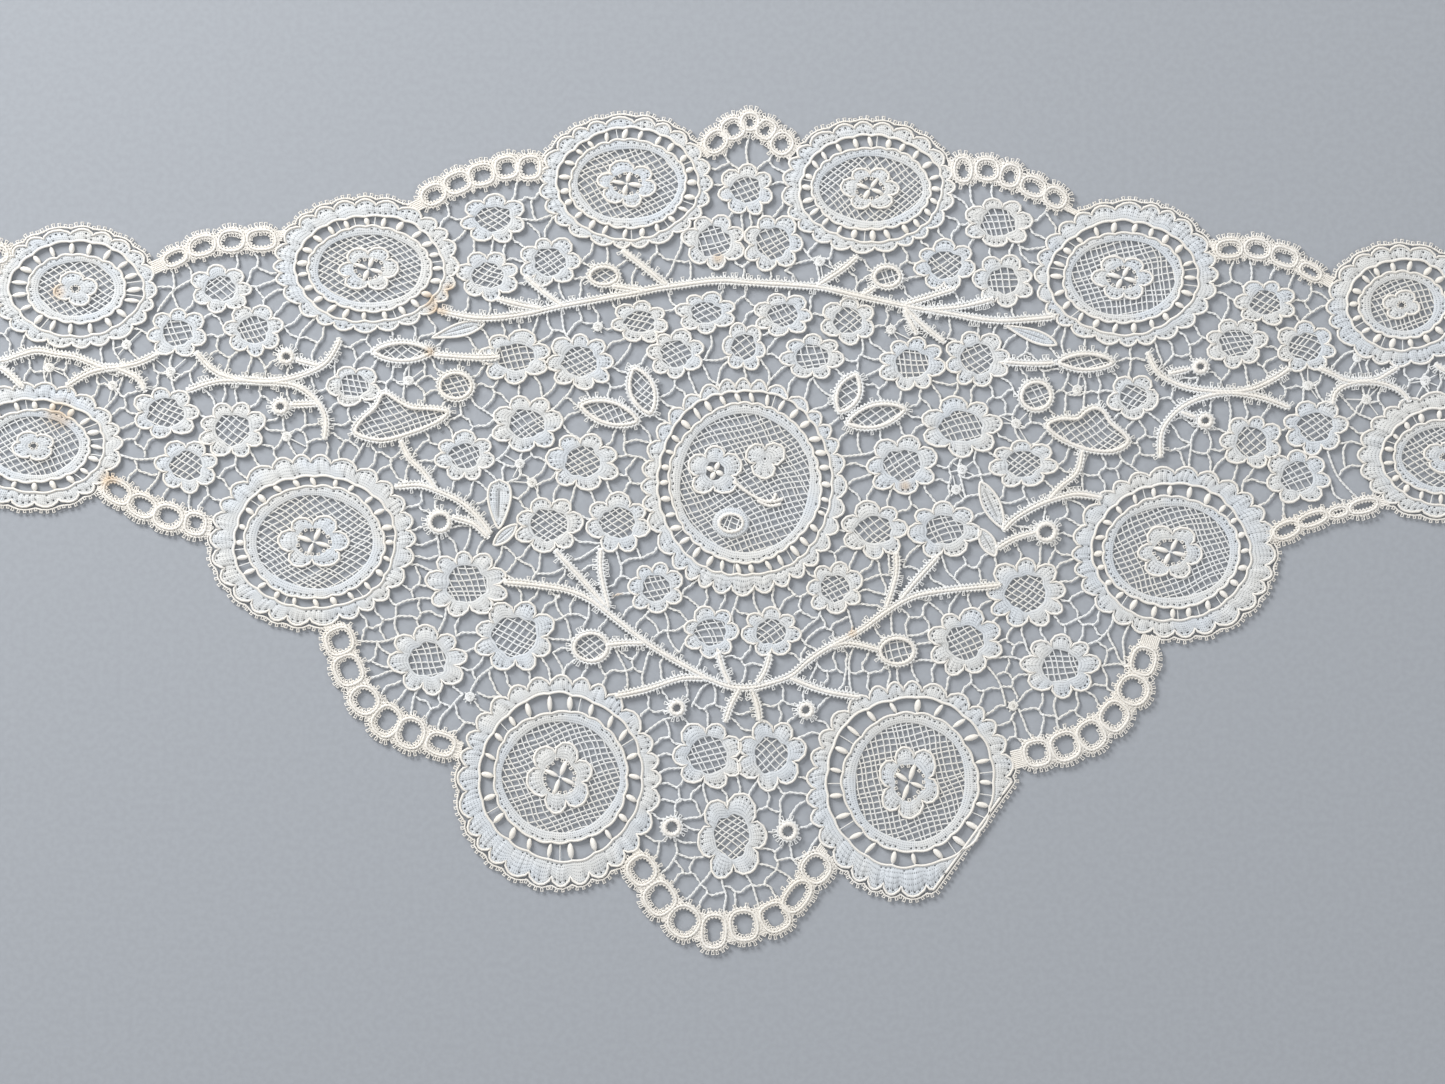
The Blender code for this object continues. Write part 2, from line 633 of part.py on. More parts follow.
def makePlate(name, loops, crests, finish):
    """A flat-bottomed sheet with the given outline loops, raised at its crest points."""
    top = triangulate(loops, crests)
    bottom = triangulate(loops, [])
    sheet = bmesh.new()
    rim = []
    ceiling = []
    floor = []
    for loop in loops:
        lower = [sheet.verts.new(toMetres(x, y, 0.0)) for x, y in loop]
        edges = [sheet.edges.new(pair) for pair in zip(lower, lower[1:] + lower[:1])]
        wall = bmesh.ops.extrude_edge_only(sheet, edges=edges)
        upper = [vert for vert in wall["geom"] if isinstance(vert, bmesh.types.BMVert)]
        bmesh.ops.translate(sheet, verts=upper, vec=(0.0, 0.0, sheetHeight))
        above = {(round(v.co.x, 7), round(v.co.y, 7)): v for v in upper}
        floor.extend(lower)
        ceiling.extend(above[(round(v.co.x, 7), round(v.co.y, 7))] for v in lower)
        rim.extend(edges)
    ceiling.extend(sheet.verts.new(toMetres(x, y, sheetHeight + rise)) for x, y, rise in crests)
    for face in top:
        sheet.faces.new([ceiling[k] for k in face])
    for face in bottom:
        sheet.faces.new([floor[k] for k in reversed(face)])
    bmesh.ops.triangulate(sheet, faces=sheet.faces[:])
    bmesh.ops.recalc_face_normals(sheet, faces=sheet.faces[:])
    mesh = bpy.data.meshes.new(name)
    sheet.to_mesh(mesh)
    sheet.free()
    plate = bpy.data.objects.new(name, mesh)
    bpy.context.collection.objects.link(plate)
    mesh.materials.append(finishNamed(name, *finish))
    print(name, "triangles", len(mesh.polygons))
    return plate


def toMetres(x, y, z):
    return (x - chartMiddleX) * chartSquare, (chartMiddleY - y) * chartSquare, z


def finishNamed(name, colour, roughness):
    material = bpy.data.materials.new(name)
    material.use_nodes = True
    shader = material.node_tree.nodes["Principled BSDF"]
    shader.inputs["Base Color"].default_value = (*colour, 1.0)
    shader.inputs["Roughness"].default_value = roughness
    shader.inputs["Metallic"].default_value = 0.0
    return material


def oval(x, y, halfWidth, halfHeight, count, turn=0.0):
    angles = [turn + 2 * math.pi * k / count for k in range(count)]
    return [(x + halfWidth * math.cos(a), y + halfHeight * math.sin(a)) for a in angles]


def trimmedLoops(field, smallest, others):
    """The field's loops, trimmed least where they face another piece."""
    loops = [loop for loop in contourLoops(field) if abs(loopArea(loop)) >= smallest]
    facing = squares(pieceGap) + edgeTolerance + fieldStep
    faces = [min(fieldAt(others, x, y) for x, y in loop) < facing for loop in loops]
    ease = 1.0
    while True:
        trimmed = [
            trimLoop(loop, ease * (edgeTolerance if isFacing else gapTolerance))
            for loop, isFacing in zip(loops, faces)
        ]
        if triangulate(trimmed, []) is not None:
            return trimmed
        ease *= 0.8


def scallopedOutline(name):
    """Two points to a scallop, drawn in where the medallion has a straight side."""
    x, y, halfWidth, halfHeight, scallops = medallions[name][:5]
    outline = []
    for k in range(2 * scallops):
        angle = math.pi * k / scallops
        inward = k % 2
        reach = 1.0 - scallopDepth * inward
        point = np.array([x + halfWidth * reach * math.cos(angle), y + halfHeight * reach * math.sin(angle)])
        beyond = 0.0
        for owner, sideX, sideY, wayOut in straightSides:
            if owner == name:
                way = np.array([math.cos(math.radians(wayOut)), math.sin(math.radians(wayOut))])
                beyond = max(float((point - (sideX, sideY)) @ way), 0.0)
                point = point - way * beyond
        if not (beyond and inward):
            outline.append(point)
    return trimLoop(np.array(outline), straightTolerance)


def makeMedallion(name, field):
    """A scalloped disc: raised outer band, low ring of grains, raised inner ring, net and flower."""
    row = medallions[name]
    ovals = {"outline": row[:4], "ring": row[5:9], "flower": row[5:7] + row[9:]}
    crests = []
    for source, outwards, rise, points, turn in medallionRelief:
        x, y, halfWidth, halfHeight = ovals[source]
        if halfWidth:
            stops = oval(x, y, halfWidth + outwards, halfHeight + outwards, points, turn)
            crests += [(px, py, rise) for px, py in stops]
    if name == "centre":
        for x, y, halfWidth, halfHeight, points in centreMotifs:
            crests += [(px, py, petalRise) for px, py in oval(x, y, halfWidth, halfHeight, points)]
        crests.append(centreMotifs[0][:2] + (0.0,))
    else:
        crests.append(row[5:7] + (0.0,))
    crests = [crest for crest in crests if fieldAt(field, crest[0], crest[1]) < -crestInset]
    makePlate("medallion_" + name, [scallopedOutline(name)], crests, clothWhite)


def ringedRun(name, holeHalf, points, field, others):
    """A run of rings, clear of the other pieces, with its holes cut through."""
    clear = squares(pieceGap) + edgeTolerance
    body = np.maximum(field, clear - others)
    holes = emptyField()
    for x, y in points:
        stampLobed(holes, x, y, holeHalf, holeHalf, 2, 0.0, 0.0)
    body = largestPart(np.maximum(body, -holes))
    leastHole = math.pi / 4 * holeHalf ** 2
    makePlate("edging_" + name, trimmedLoops(body, leastHole, others), [], ivory)


def groundCrests(field):
    """Raised petals and stems of the ground."""
    petalMiddle = 0.66
    petalPoints = 5
    crests = []
    for index, (x, y, halfWidth, halfHeight, petals) in enumerate(allFlowers()):
        ring = oval(x, y, halfWidth * petalMiddle, halfHeight * petalMiddle, petalPoints, flowerTurn(index))
        crests += [(px, py, petalRise) for px, py in ring]
        crests.append((x, y, 0.0))
    for points in stems:
        route = smoothRoute(points, 2)
        crests += [(px, py, stemRise) for px, py in route[1:-1]]
    kept = []
    for x, y, rise in crests:
        if fieldAt(field, x, y) > -crestInset:
            continue
        if all(math.hypot(x - a, y - b) > crestSpacing for a, b, c in kept):
            kept.append((x, y, rise))
    return kept


def clearScene():
    for thing in list(bpy.data.objects):
        bpy.data.objects.remove(thing)


def build():
    clearScene()
    discs = {name: medallionField(name) for name in medallions}
    runs = {name: row + (runField(*row),) for name, row in allRuns().items()}
    allDiscs = np.minimum.reduce(list(discs.values()))
    allEdging = np.minimum.reduce([row[2] for row in runs.values()])
    sprigs = sprigField()
    bars = bridgeBars(np.minimum.reduce([sprigs, allDiscs, allEdging]))
    ground = sprigs.copy()
    half = squares(barWidth) / 2
    for bar in bars + [row + (barBow,) for row in chartedBars]:
        route = barRoute(*bar)
        stampStroke(ground, route, [half] * len(route))
    ground = fillSmallGaps(ground, np.minimum.reduce([ground, allDiscs, allEdging]))
    clear = squares(pieceGap) + edgeTolerance
    others = np.minimum(allDiscs, allEdging)
    ground = largestPart(np.maximum(ground, clear - others))
    leastHole = smallestGapArea() / 2
    loops = trimmedLoops(ground, leastHole, others)
    print("bars", len(bars), "gaps in the ground", len(loops) - 1)
    makePlate("ground", loops, groundCrests(ground), ivory)
    for name, field in discs.items():
        makeMedallion(name, field)
    for name, row in runs.items():
        ringedRun(name, *row, allDiscs)


build()
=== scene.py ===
# Dresses the mixed lace lappet in its threads: woven motifs, nets, bars, raised stems and edging.
# The motifs stand on a pricking chart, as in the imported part, whose squares count right and down.
import math
from collections import Counter

import bmesh
import bpy
import numpy as np
from mathutils import Matrix, Vector


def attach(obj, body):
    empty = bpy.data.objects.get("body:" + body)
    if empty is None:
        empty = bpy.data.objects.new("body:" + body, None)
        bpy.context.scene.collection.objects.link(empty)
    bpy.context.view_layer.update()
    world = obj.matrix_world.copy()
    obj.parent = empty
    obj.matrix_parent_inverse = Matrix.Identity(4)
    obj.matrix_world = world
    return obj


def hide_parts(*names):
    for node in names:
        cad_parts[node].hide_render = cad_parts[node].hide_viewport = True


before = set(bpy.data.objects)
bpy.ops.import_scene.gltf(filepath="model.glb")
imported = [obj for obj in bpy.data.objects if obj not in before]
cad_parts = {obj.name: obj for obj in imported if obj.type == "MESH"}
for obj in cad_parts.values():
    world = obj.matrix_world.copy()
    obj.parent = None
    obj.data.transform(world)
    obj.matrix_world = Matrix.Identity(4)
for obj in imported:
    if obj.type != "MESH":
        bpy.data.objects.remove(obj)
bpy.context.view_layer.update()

# Lengths over the lace are in squares of the chart; a square's own size, heights and the radii of threads
# are in metres
chart = {"square": 0.00019, "middleX": 741.0, "middleY": 529.0, "left": -330, "right": 1812, "top": 90,
         "bottom": 974, "step": 2, "empty": 60.0, "margin": 8, "mirrorSum": 1482, "mirrorDrop": 12}

# name: x, y, half width, half height, scallops,
#       ring x, ring y, ring half width, ring half height, flower half width, flower half height
medallions = {
    "centre": (744, 487, 104, 110, 32, 745, 483, 76, 80, 0, 0),
    "top_left": (626, 183, 88, 67, 23, 628, 184, 59, 45, 30, 22),
    "top_right": (868, 188, 88, 67, 23, 871, 189, 60, 42, 28, 22),
    "upper_left": (367, 266, 94, 68, 24, 370, 269, 62, 43, 30, 22),
    "upper_right": (1126, 275, 93, 73, 24, 1123, 278, 61, 46, 30, 22),
    "lower_left": (313, 540, 104, 87, 26, 315, 542, 70, 57, 34, 27),
    "lower_right": (1174, 552, 103, 87, 26, 1171, 552, 69, 56, 33, 26),
    "bottom_left": (559, 781, 103, 107, 28, 561, 777, 68, 67, 32, 35),
    "bottom_right": (911, 788, 106, 109, 29, 910, 782, 68, 70, 30, 36),
    "band_left_upper": (75, 289, 84, 61, 21, 77, 289, 50, 35, 23, 17),
    "band_left_lower": (35, 445, 89, 64, 22, 35, 446, 56, 37, 22, 16),
    "band_right_upper": (1401, 306, 76, 62, 20, 1402, 305, 44, 34, 20, 15),
    "band_right_lower": (1443, 455, 87, 64, 22, 1445, 457, 53, 38, 22, 17),
    "tip_left": (-215, 368, 86, 76, 22, -215, 368, 58, 50, 29, 25),
    "tip_right": (1697, 380, 86, 76, 22, 1697, 380, 58, 50, 29, 25),
}
# The bottom right medallion is drawn straight along one side: name, x, y, way out in degrees
straightSides = [("bottom_right", 984, 822, 36)]
# name: open ring across and down, woven ring inside it across and down, grains,
#       run and crossing of the net and turn of the flower in degrees
fillings = {
    "centre": (10, 12, 11, 11, 34, -20, 77, 0),
    "top_left": (10, 9, 9, 10, 23, -25, 75, 15),
    "top_right": (10, 10, 9, 10, 24, -40, 85, 0),
    "upper_left": (11, 9, 10, 9, 23, -26, 61, 0),
    "upper_right": (12, 9, 10, 9, 22, -12, 85, 0),
    "lower_left": (10, 8, 12, 11, 24, -32, 66, 0),
    "lower_right": (8, 11, 10, 10, 24, -18, 84, 4),
    "bottom_left": (12, 15, 10, 12, 22, -15, 80, -14),
    "bottom_right": (15, 14, 13, 11, 21, -12, 88, 20),
    "band_left_upper": (15, 11, 12, 8, 19, -30, 70, -16),
    "band_left_lower": (13, 8, 12, 8, 20, -25, 75, -31),
    "band_right_upper": (10, 10, 12, 8, 18, -20, 80, 20),
    "band_right_lower": (9, 9, 10, 8, 19, -32, 68, 24),
    "tip_left": (11, 10, 10, 9, 22, -25, 75, 0),
    "tip_right": (11, 10, 10, 9, 22, -25, 75, 0),
}

# x, y, half width, half height, petals
flowers = [
    (221, 289, 30, 25, 7), (178, 333, 29, 26, 7), (254, 330, 30, 26, 7), (166, 413, 32, 27, 7),
    (233, 430, 33, 29, 8), (187, 466, 31, 27, 7), (354, 386, 26, 22, 5), (494, 219, 33, 25, 7),
    (488, 276, 30, 26, 7), (550, 262, 30, 26, 7), (746, 190, 28, 26, 7), (714, 242, 30, 29, 7),
    (773, 243, 30, 29, 7), (640, 322, 28, 22, 7), (706, 313, 29, 22, 7), (783, 315, 30, 22, 7),
    (848, 321, 27, 25, 6), (676, 354, 28, 25, 7), (744, 347, 22, 25, 6), (812, 357, 30, 24, 7),
    (515, 357, 36, 27, 7), (580, 362, 33, 29, 8), (912, 364, 32, 28, 8), (977, 359, 33, 28, 8),
    (998, 223, 33, 26, 7), (945, 265, 30, 26, 7), (1003, 281, 30, 27, 7), (527, 424, 34, 30, 7),
    (465, 456, 30, 25, 7), (583, 462, 35, 30, 7), (549, 525, 33, 29, 7), (618, 523, 32, 30, 7),
    (467, 584, 39, 35, 9), (515, 636, 40, 36, 8), (428, 660, 38, 35, 8), (656, 588, 27, 27, 7),
    (711, 632, 28, 26, 7), (771, 632, 28, 26, 7), (835, 588, 28, 27, 7), (874, 530, 33, 29, 7),
    (944, 530, 34, 30, 7), (902, 465, 36, 30, 7), (961, 427, 39, 31, 7), (1023, 464, 33, 25, 7),
    (1026, 593, 40, 35, 9), (1060, 666, 37, 33, 8), (965, 642, 37, 34, 8), (708, 755, 35, 34, 7),
    (771, 755, 33, 37, 7), (732, 836, 35, 43, 6), (1265, 303, 30, 24, 7), (1236, 343, 30, 26, 7),
    (1305, 347, 30, 26, 7), (1251, 442, 30, 28, 7), (1315, 427, 32, 28, 7), (1297, 477, 32, 28, 7),
    (1133, 397, 25, 24, 5),
]
# The same columns, for the two band ends; the right end is turned over
endFlowers = [(-42, 303, 30, 26, 7), (-102, 312, 31, 26, 7), (-68, 412, 31, 27, 7), (-124, 440, 29, 24, 7)]

# x, y, half width, half height of the oval buds with net, then of the little ring buds
netBuds = [
    (604, 276, 18, 13), (887, 277, 17, 14), (456, 386, 20, 17), (1036, 396, 19, 18), (591, 647, 21, 18),
    (897, 651, 21, 17),
]
ringBuds = [
    (287, 357, 12, 11), (281, 407, 12, 11), (1200, 367, 12, 11), (1205, 421, 12, 11), (440, 522, 15, 14),
    (1046, 532, 15, 14), (677, 708, 14, 14), (806, 710, 13, 13), (672, 827, 14, 14), (788, 831, 14, 14),
    (598, 327, 8, 7), (891, 330, 8, 7), (470, 697, 9, 8), (1013, 706, 9, 8),
]
ringHoles = (3.6, 3.7, 3.4, 3.5, 7.4, 6.4, 3.7, 3.7, 5.2, 5.2)  # half width of each one's hole
spiderBuds = 4  # the last buds are woven spiders, as are these crossings of bars
spiders = [
    (171, 372), (520, 464), (532, 483), (409, 381), (287, 437), (820, 262), (1077, 390), (1016, 424),
    (962, 470), (956, 490), (50, 368), (113, 386), (127, 345), (1308, 386), (1366, 400), (1357, 358),
    (1425, 381),
]

# x and y of the two ends, then half width
leaves = [
    (370, 352, 436, 352, 13), (1054, 362, 1118, 362, 12), (633, 364, 652, 418, 16), (577, 404, 642, 422, 15),
    (858, 371, 838, 416, 15), (843, 424, 909, 408, 15), (433, 335, 486, 323, 8), (1004, 325, 1057, 344, 8),
    (505, 481, 493, 528, 11), (494, 541, 519, 524, 9), (981, 483, 1003, 528, 9), (976, 530, 994, 557, 10),
    (445, 414, 354, 431, 17), (389, 395, 392, 440, 18), (1043, 422, 1127, 441, 17),
    (1099, 409, 1096, 452, 18),
]
# The leaves worked in cloth, where the others hold net, by their place in that list: the two ends,
# half width, and the share of the length at which the leaf is widest
clothLeaves = {
    6: (431, 338, 486, 323, 7.5, 0.60), 7: (1003, 325, 1058, 345, 7.0, 0.62),
    8: (500, 479, 499, 530, 12.5, 0.30), 9: (518, 524, 493, 546, 6.8, 0.50),
    10: (980, 481, 1003, 529, 9.5, 0.48), 11: (979, 528, 996, 557, 8.0, 0.50),
}
# The last four leaves cross in pairs, and each pair is worked as one three-cornered leaf
crossedLeaves = 4
corneredLeaves = [
    [(384, 393), (398, 401), (412, 408), (430, 409), (448, 412), (437, 422), (410, 433), (381, 440),
     (356, 433), (362, 420), (376, 407)],
    [(1047, 426), (1060, 419), (1077, 419), (1085, 412), (1095, 408), (1104, 413), (1110, 423),
     (1122, 433), (1128, 442), (1112, 451), (1086, 449), (1062, 439)],
]

# The raised stems, each a run of x, y points
stems = [
    [(438, 311), (476, 318), (515, 316), (563, 306), (630, 294), (668, 287), (719, 281), (751, 283),
     (815, 287), (858, 296), (904, 306), (945, 313), (998, 321), (1055, 317)],
    [(497, 299), (520, 305), (543, 309)],
    [(525, 276), (543, 292), (563, 306)],
    [(622, 250), (640, 264), (668, 286)],
    [(612, 286), (645, 291)],
    [(817, 286), (843, 269), (858, 256)],
    [(863, 295), (876, 287)],
    [(904, 305), (930, 297), (955, 289)],
    [(925, 310), (960, 307), (993, 299)],
    [(904, 307), (922, 325), (945, 343)],
    [(904, 310), (917, 335)],
    [(434, 355), (475, 358), (500, 357)],
    [(1004, 362), (1030, 364), (1055, 363)],
    [(-130, 368), (-60, 364), (0, 361), (18, 356), (37, 351), (56, 354), (76, 357), (92, 363),
     (108, 368), (136, 364), (159, 354)],
    [(67, 386), (92, 372), (120, 367)],
    [(-10, 362), (8, 372), (24, 388)],
    [(116, 368), (138, 378), (146, 392)],
    [(196, 352), (220, 374), (260, 382), (294, 378), (324, 365), (337, 347), (340, 338)],
    [(187, 391), (220, 381), (260, 382), (294, 385), (315, 399), (326, 417), (325, 440)],
    [(290, 405), (318, 404)],
    [(296, 360), (320, 366)],
    [(1147, 352), (1160, 375), (1193, 389), (1241, 391), (1270, 381), (1290, 368)],
    [(1160, 458), (1162, 430), (1182, 407), (1216, 394), (1255, 396), (1290, 408)],
    [(1168, 374), (1190, 369)],
    [(1180, 412), (1196, 418)],
    [(1318, 368), (1334, 375), (1347, 381), (1374, 380), (1388, 373), (1398, 367)],
    [(1332, 405), (1334, 394), (1343, 386), (1360, 382), (1379, 383), (1394, 388), (1403, 394), (1409, 402)],
    [(395, 487), (419, 485), (438, 491), (461, 502), (479, 518), (491, 534)],
    [(401, 440), (410, 459), (422, 470), (436, 489)],
    [(452, 517), (474, 524), (489, 538)],
    [(1102, 498), (1077, 494), (1054, 499), (1032, 508), (1013, 520), (1003, 531)],
    [(1082, 450), (1077, 472), (1061, 486), (1048, 500)],
    [(1036, 532), (1013, 539), (996, 549)],
    [(504, 582), (545, 586), (582, 595), (616, 619), (647, 643), (682, 664), (719, 683), (746, 688),
     (774, 682), (792, 675), (808, 661), (829, 647), (861, 630), (890, 609), (918, 595), (960, 589),
     (1000, 585)],
    [(555, 550), (580, 577), (606, 606)],
    [(601, 548), (601, 572), (609, 608)],
    [(938, 556), (913, 584), (900, 600)],
    [(896, 552), (896, 575), (886, 608)],
    [(606, 645), (625, 643), (645, 643)],
    [(615, 696), (647, 689), (682, 678), (708, 678)],
    [(790, 678), (810, 686), (829, 692), (860, 697)],
    [(829, 647), (849, 643), (880, 650)],
    [(740, 688), (732, 703), (725, 722)],
    [(751, 688), (757, 704), (760, 722)],
    [(718, 652), (723, 669), (730, 684)],
    [(770, 654), (765, 671), (757, 684)],
    [(-60, 364), (-52, 345), (-48, 325)],
    [(-88, 366), (-98, 350), (-101, 334)],
    [(-60, 364), (-68, 380), (-68, 392)],
    [(1544, 377), (1534, 357), (1530, 337)],
    [(1570, 378), (1580, 362), (1583, 346)],
    [(1544, 377), (1550, 392), (1550, 404)],
    [(1434, 364), (1450, 373), (1482, 374), (1540, 375), (1612, 380)],
]

# Half width of the hole, then the middle of each ring, for each run of the edging
edgingRuns = {
    "left_end_upper": (9, [(-164, 288), (-138, 274), (-113, 263), (-87, 255), (-59, 250), (-31, 250),
                           (-3, 254)]),
    "left_top": (9, [(176, 258), (203, 246), (232, 241), (262, 240)]),
    "upper_left": (8, [(434, 195), (458, 183), (482, 175), (507, 168), (530, 168)]),
    "peak": (6, [(716, 142), (733, 129), (750, 122), (766, 130), (782, 144)]),
    "upper_right": (8, [(963, 170), (987, 170), (1010, 176), (1033, 187), (1055, 198)]),
    "right_top": (9, [(1229, 249), (1257, 249), (1284, 257), (1310, 272)]),
    "right_bottom": (9, [(1363, 506), (1338, 512), (1312, 519), (1286, 530)]),
    "bottom_right": (10, [(1143, 661), (1133, 690), (1114, 716), (1091, 735), (1065, 746), (1037, 753)]),
    "bottom_tip": (10, [(816, 868), (797, 896), (775, 917), (744, 925), (714, 931), (684, 921),
                        (660, 898), (642, 870)]),
    "bottom_left": (10, [(441, 744), (411, 733), (387, 721), (365, 700), (349, 670), (340, 641)]),
    "left_bottom": (9, [(196, 524), (169, 517), (143, 506), (118, 492)]),
    "left_end_lower": (9, [(-36, 497), (-66, 496), (-96, 490), (-125, 480), (-152, 465), (-173, 446)]),
}
mirroredRuns = {"right_end_upper": "left_end_upper", "right_end_lower": "left_end_lower"}
# Half length along the run and half width across it of each ring's hole, ring by ring
holeSizes = {
    "left_end_upper": [(9.3, 5.6), (9.8, 6.2), (9.0, 5.2), (9.6, 6.0), (9.2, 5.6), (8.8, 5.4), (8.2, 4.6)],
    "left_top": [(7.8, 3.5), (9.5, 5.2), (9.2, 5.9), (10.2, 6.1)],
    "upper_left": [(8.5, 5.2), (9.3, 6.0), (8.5, 6.5), (7.8, 6.6), (7.0, 7.4)],
    "peak": [(8.0, 5.8), (7.2, 6.3), (4.7, 4.7), (4.8, 5.4), (6.5, 6.5)],
    "upper_right": [(5.0, 7.8), (7.4, 6.4), (6.0, 6.8), (8.8, 5.2), (7.4, 5.2)],
    "right_top": [(8.8, 4.8), (8.6, 5.4), (9.5, 5.2), (7.5, 2.6)],
    "right_bottom": [(10.5, 2.4), (5.0, 0.8), (10.5, 2.4), (9.0, 3.8)],
    "bottom_right": [(10.2, 8.0), (10.5, 10.5), (10.2, 9.6), (9.5, 10.0), (10.5, 9.8), (8.8, 9.0)],
    "bottom_tip": [(10.3, 9.5), (13.5, 6.8), (10.0, 10.5), (9.5, 11.5), (8.6, 12.5), (11.0, 11.5),
                   (11.5, 11.2), (10.0, 9.8)],
    "bottom_left": [(10.3, 7.0), (9.8, 10.8), (9.8, 11.0), (10.0, 9.2), (11.0, 9.8), (9.5, 9.5)],
    "left_bottom": [(7.0, 6.5), (10.2, 7.6), (10.5, 6.5), (10.3, 6.5)],
    "left_end_lower": [(8.6, 6.0), (9.8, 6.8), (10.2, 6.4), (9.4, 7.0), (9.8, 6.2), (8.8, 6.4)],
}

# The order of the pieces around the lace's edge, which its ground fills; a star marks the medallion
# where a run of edging has the same name
edgeOrder = [
    "tip_left", "left_end_upper", "band_left_upper", "left_top", "upper_left*", "upper_left", "top_left",
    "peak", "top_right", "upper_right", "upper_right*", "right_top", "band_right_upper",
    "right_end_upper", "tip_right", "right_end_lower", "band_right_lower", "right_bottom", "lower_right",
    "bottom_right", "bottom_right*", "bottom_tip", "bottom_left*", "bottom_left", "lower_left",
    "left_bottom", "band_left_lower", "left_end_lower",
]


def toMetres(points):
    placed = np.array(points, float).reshape(-1, 3)
    placed[:, 0] = (placed[:, 0] - chart["middleX"]) * chart["square"]
    placed[:, 1] = (chart["middleY"] - placed[:, 1]) * chart["square"]
    return placed


def atHeight(points, height):
    flat = np.array(points, float).reshape(-1, 2)
    return np.column_stack([flat, np.broadcast_to(height, len(flat))])


def mirrorPoint(x, y):
    return chart["mirrorSum"] - x, y + chart["mirrorDrop"]


# The slow and the quick swing of a waver: their shares, how far its seed shifts each, and their lengths
# over the lace; a bend is undone in so many steps
waver = {"slow": 0.6, "quick": 0.4, "slowShift": 2.4, "quickShift": 4.1, "unbending": 5, "length": 9.0,
         "bend": 2.1, "bendLength": 1.6, "bendShift": 1.7, "quickLength": 0.7, "quickTurn": 2.3}


# A slow waver that closes up round a turn, and one that drifts over the lace
def ripple(angles, seed, waves=3):
    slow = np.sin(waves * angles + waver["slowShift"] * seed)
    quick = np.sin((waves + 2) * angles + waver["quickShift"] * seed)
    return waver["slow"] * slow + waver["quick"] * quick


def drift(x, y, seed, length=waver["length"]):
    bend = np.sin(y / (waver["bendLength"] * length) + waver["bendShift"] * seed)
    slow = np.sin(x / length + waver["bend"] * bend + seed)
    quick = np.sin((x + y) / (waver["quickLength"] * length) - waver["quickTurn"] * seed)
    return waver["slow"] * slow + waver["quick"] * quick


# No two lobes are alike: the turn at which a lobe is drawn, from its place on the edge, and back
def bendAngles(angles, seed, bend, waves):
    return angles + bend * ripple(angles, seed, waves)


def unbendAngles(bent, seed, bend, waves):
    angles = bent
    for step in range(waver["unbending"]):
        angles = bent - bend * ripple(angles, seed, waves)
    return angles


lots = {"weights": (12.9898, 78.233, 37.719), "spread": 43758.5453}


# What turns up many times in one place must not look stamped: a steady draw from 0 to 1
def chance(*marks):
    mixed = sum(mark * weight for mark, weight in zip(marks, lots["weights"]))
    value = math.sin(mixed) * lots["spread"]
    return value - math.floor(value)


# A smooth route through all the points
def smoothRoute(points, perSpan=4):
    if len(points) < 3:
        return [tuple(map(float, point)) for point in points]
    ends = [points[0]] + list(points) + [points[-1]]
    route = []
    for before, start, end, after in zip(ends, ends[1:], ends[2:], ends[3:]):
        for step in range(perSpan):
            t = step / perSpan
            a, b, c, d = (np.array(point, float) for point in (before, start, end, after))
            place = b + 0.5 * t * (c - a) + t * t * (a - 2.5 * b + 2 * c - 0.5 * d)
            place = place + t ** 3 * (1.5 * b - 1.5 * c + 0.5 * d - 0.5 * a)
            route.append((float(place[0]), float(place[1])))
    route.append(tuple(map(float, points[-1])))
    return route


def smoothLoop(points, perSpan):
    wrapped = points[-2:] + points + points[:2]
    route = smoothRoute(wrapped, perSpan)
    return route[2 * perSpan:(2 + len(points)) * perSpan]


def routeLength(route):
    return float(np.hypot(*np.diff(np.array(route, float)[:, :2], axis=0).T).sum())


# Points a given way apart along a route, at least two
def stepRoute(route, spacing, closed=False):
    line = np.array(route, float)
    if closed:
        line = np.vstack([line, line[:1]])
    gone = np.concatenate([[0], np.cumsum(np.hypot(*np.diff(line, axis=0).T))])
    count = max(int(round(gone[-1] / spacing)), 2)
    stops = np.linspace(0, gone[-1], count + 1)
    if closed:
        stops = stops[:-1]
    return np.column_stack([np.interp(stops, gone, line[:, 0]), np.interp(stops, gone, line[:, 1])])


# The way to the left of a route at each of its points
def sideways(line, closed=False):
    if closed:
        run = np.roll(line, -1, axis=0) - np.roll(line, 1, axis=0)
    else:
        run = np.gradient(line, axis=0)
    run = run / np.maximum(np.hypot(*run.T), 1e-9)[:, None]
    return np.column_stack([-run[:, 1], run[:, 0]])


def insidePolygon(xs, ys, polygon):
    inside = np.zeros(np.broadcast(xs, ys).shape, bool)
    corners = [tuple(point) for point in polygon]
    for (x0, y0), (x1, y1) in zip(corners, corners[1:] + corners[:1]):
        if y0 == y1:
            continue
        crosses = ((y0 > ys) != (y1 > ys)) & (xs < x0 + (ys - y0) * (x1 - x0) / (y1 - y0))
        inside ^= crosses
    return inside


def allFlowers():
    mirrored = [mirrorPoint(row[0], row[1]) + row[2:] for row in endFlowers]
    return flowers + endFlowers + mirrored


def allRuns():
    runs = dict(edgingRuns)
    for name, source in mirroredRuns.items():
        holeHalf, points = edgingRuns[source]
        runs[name] = (holeHalf, [mirrorPoint(x, y) for x, y in points])
    return runs


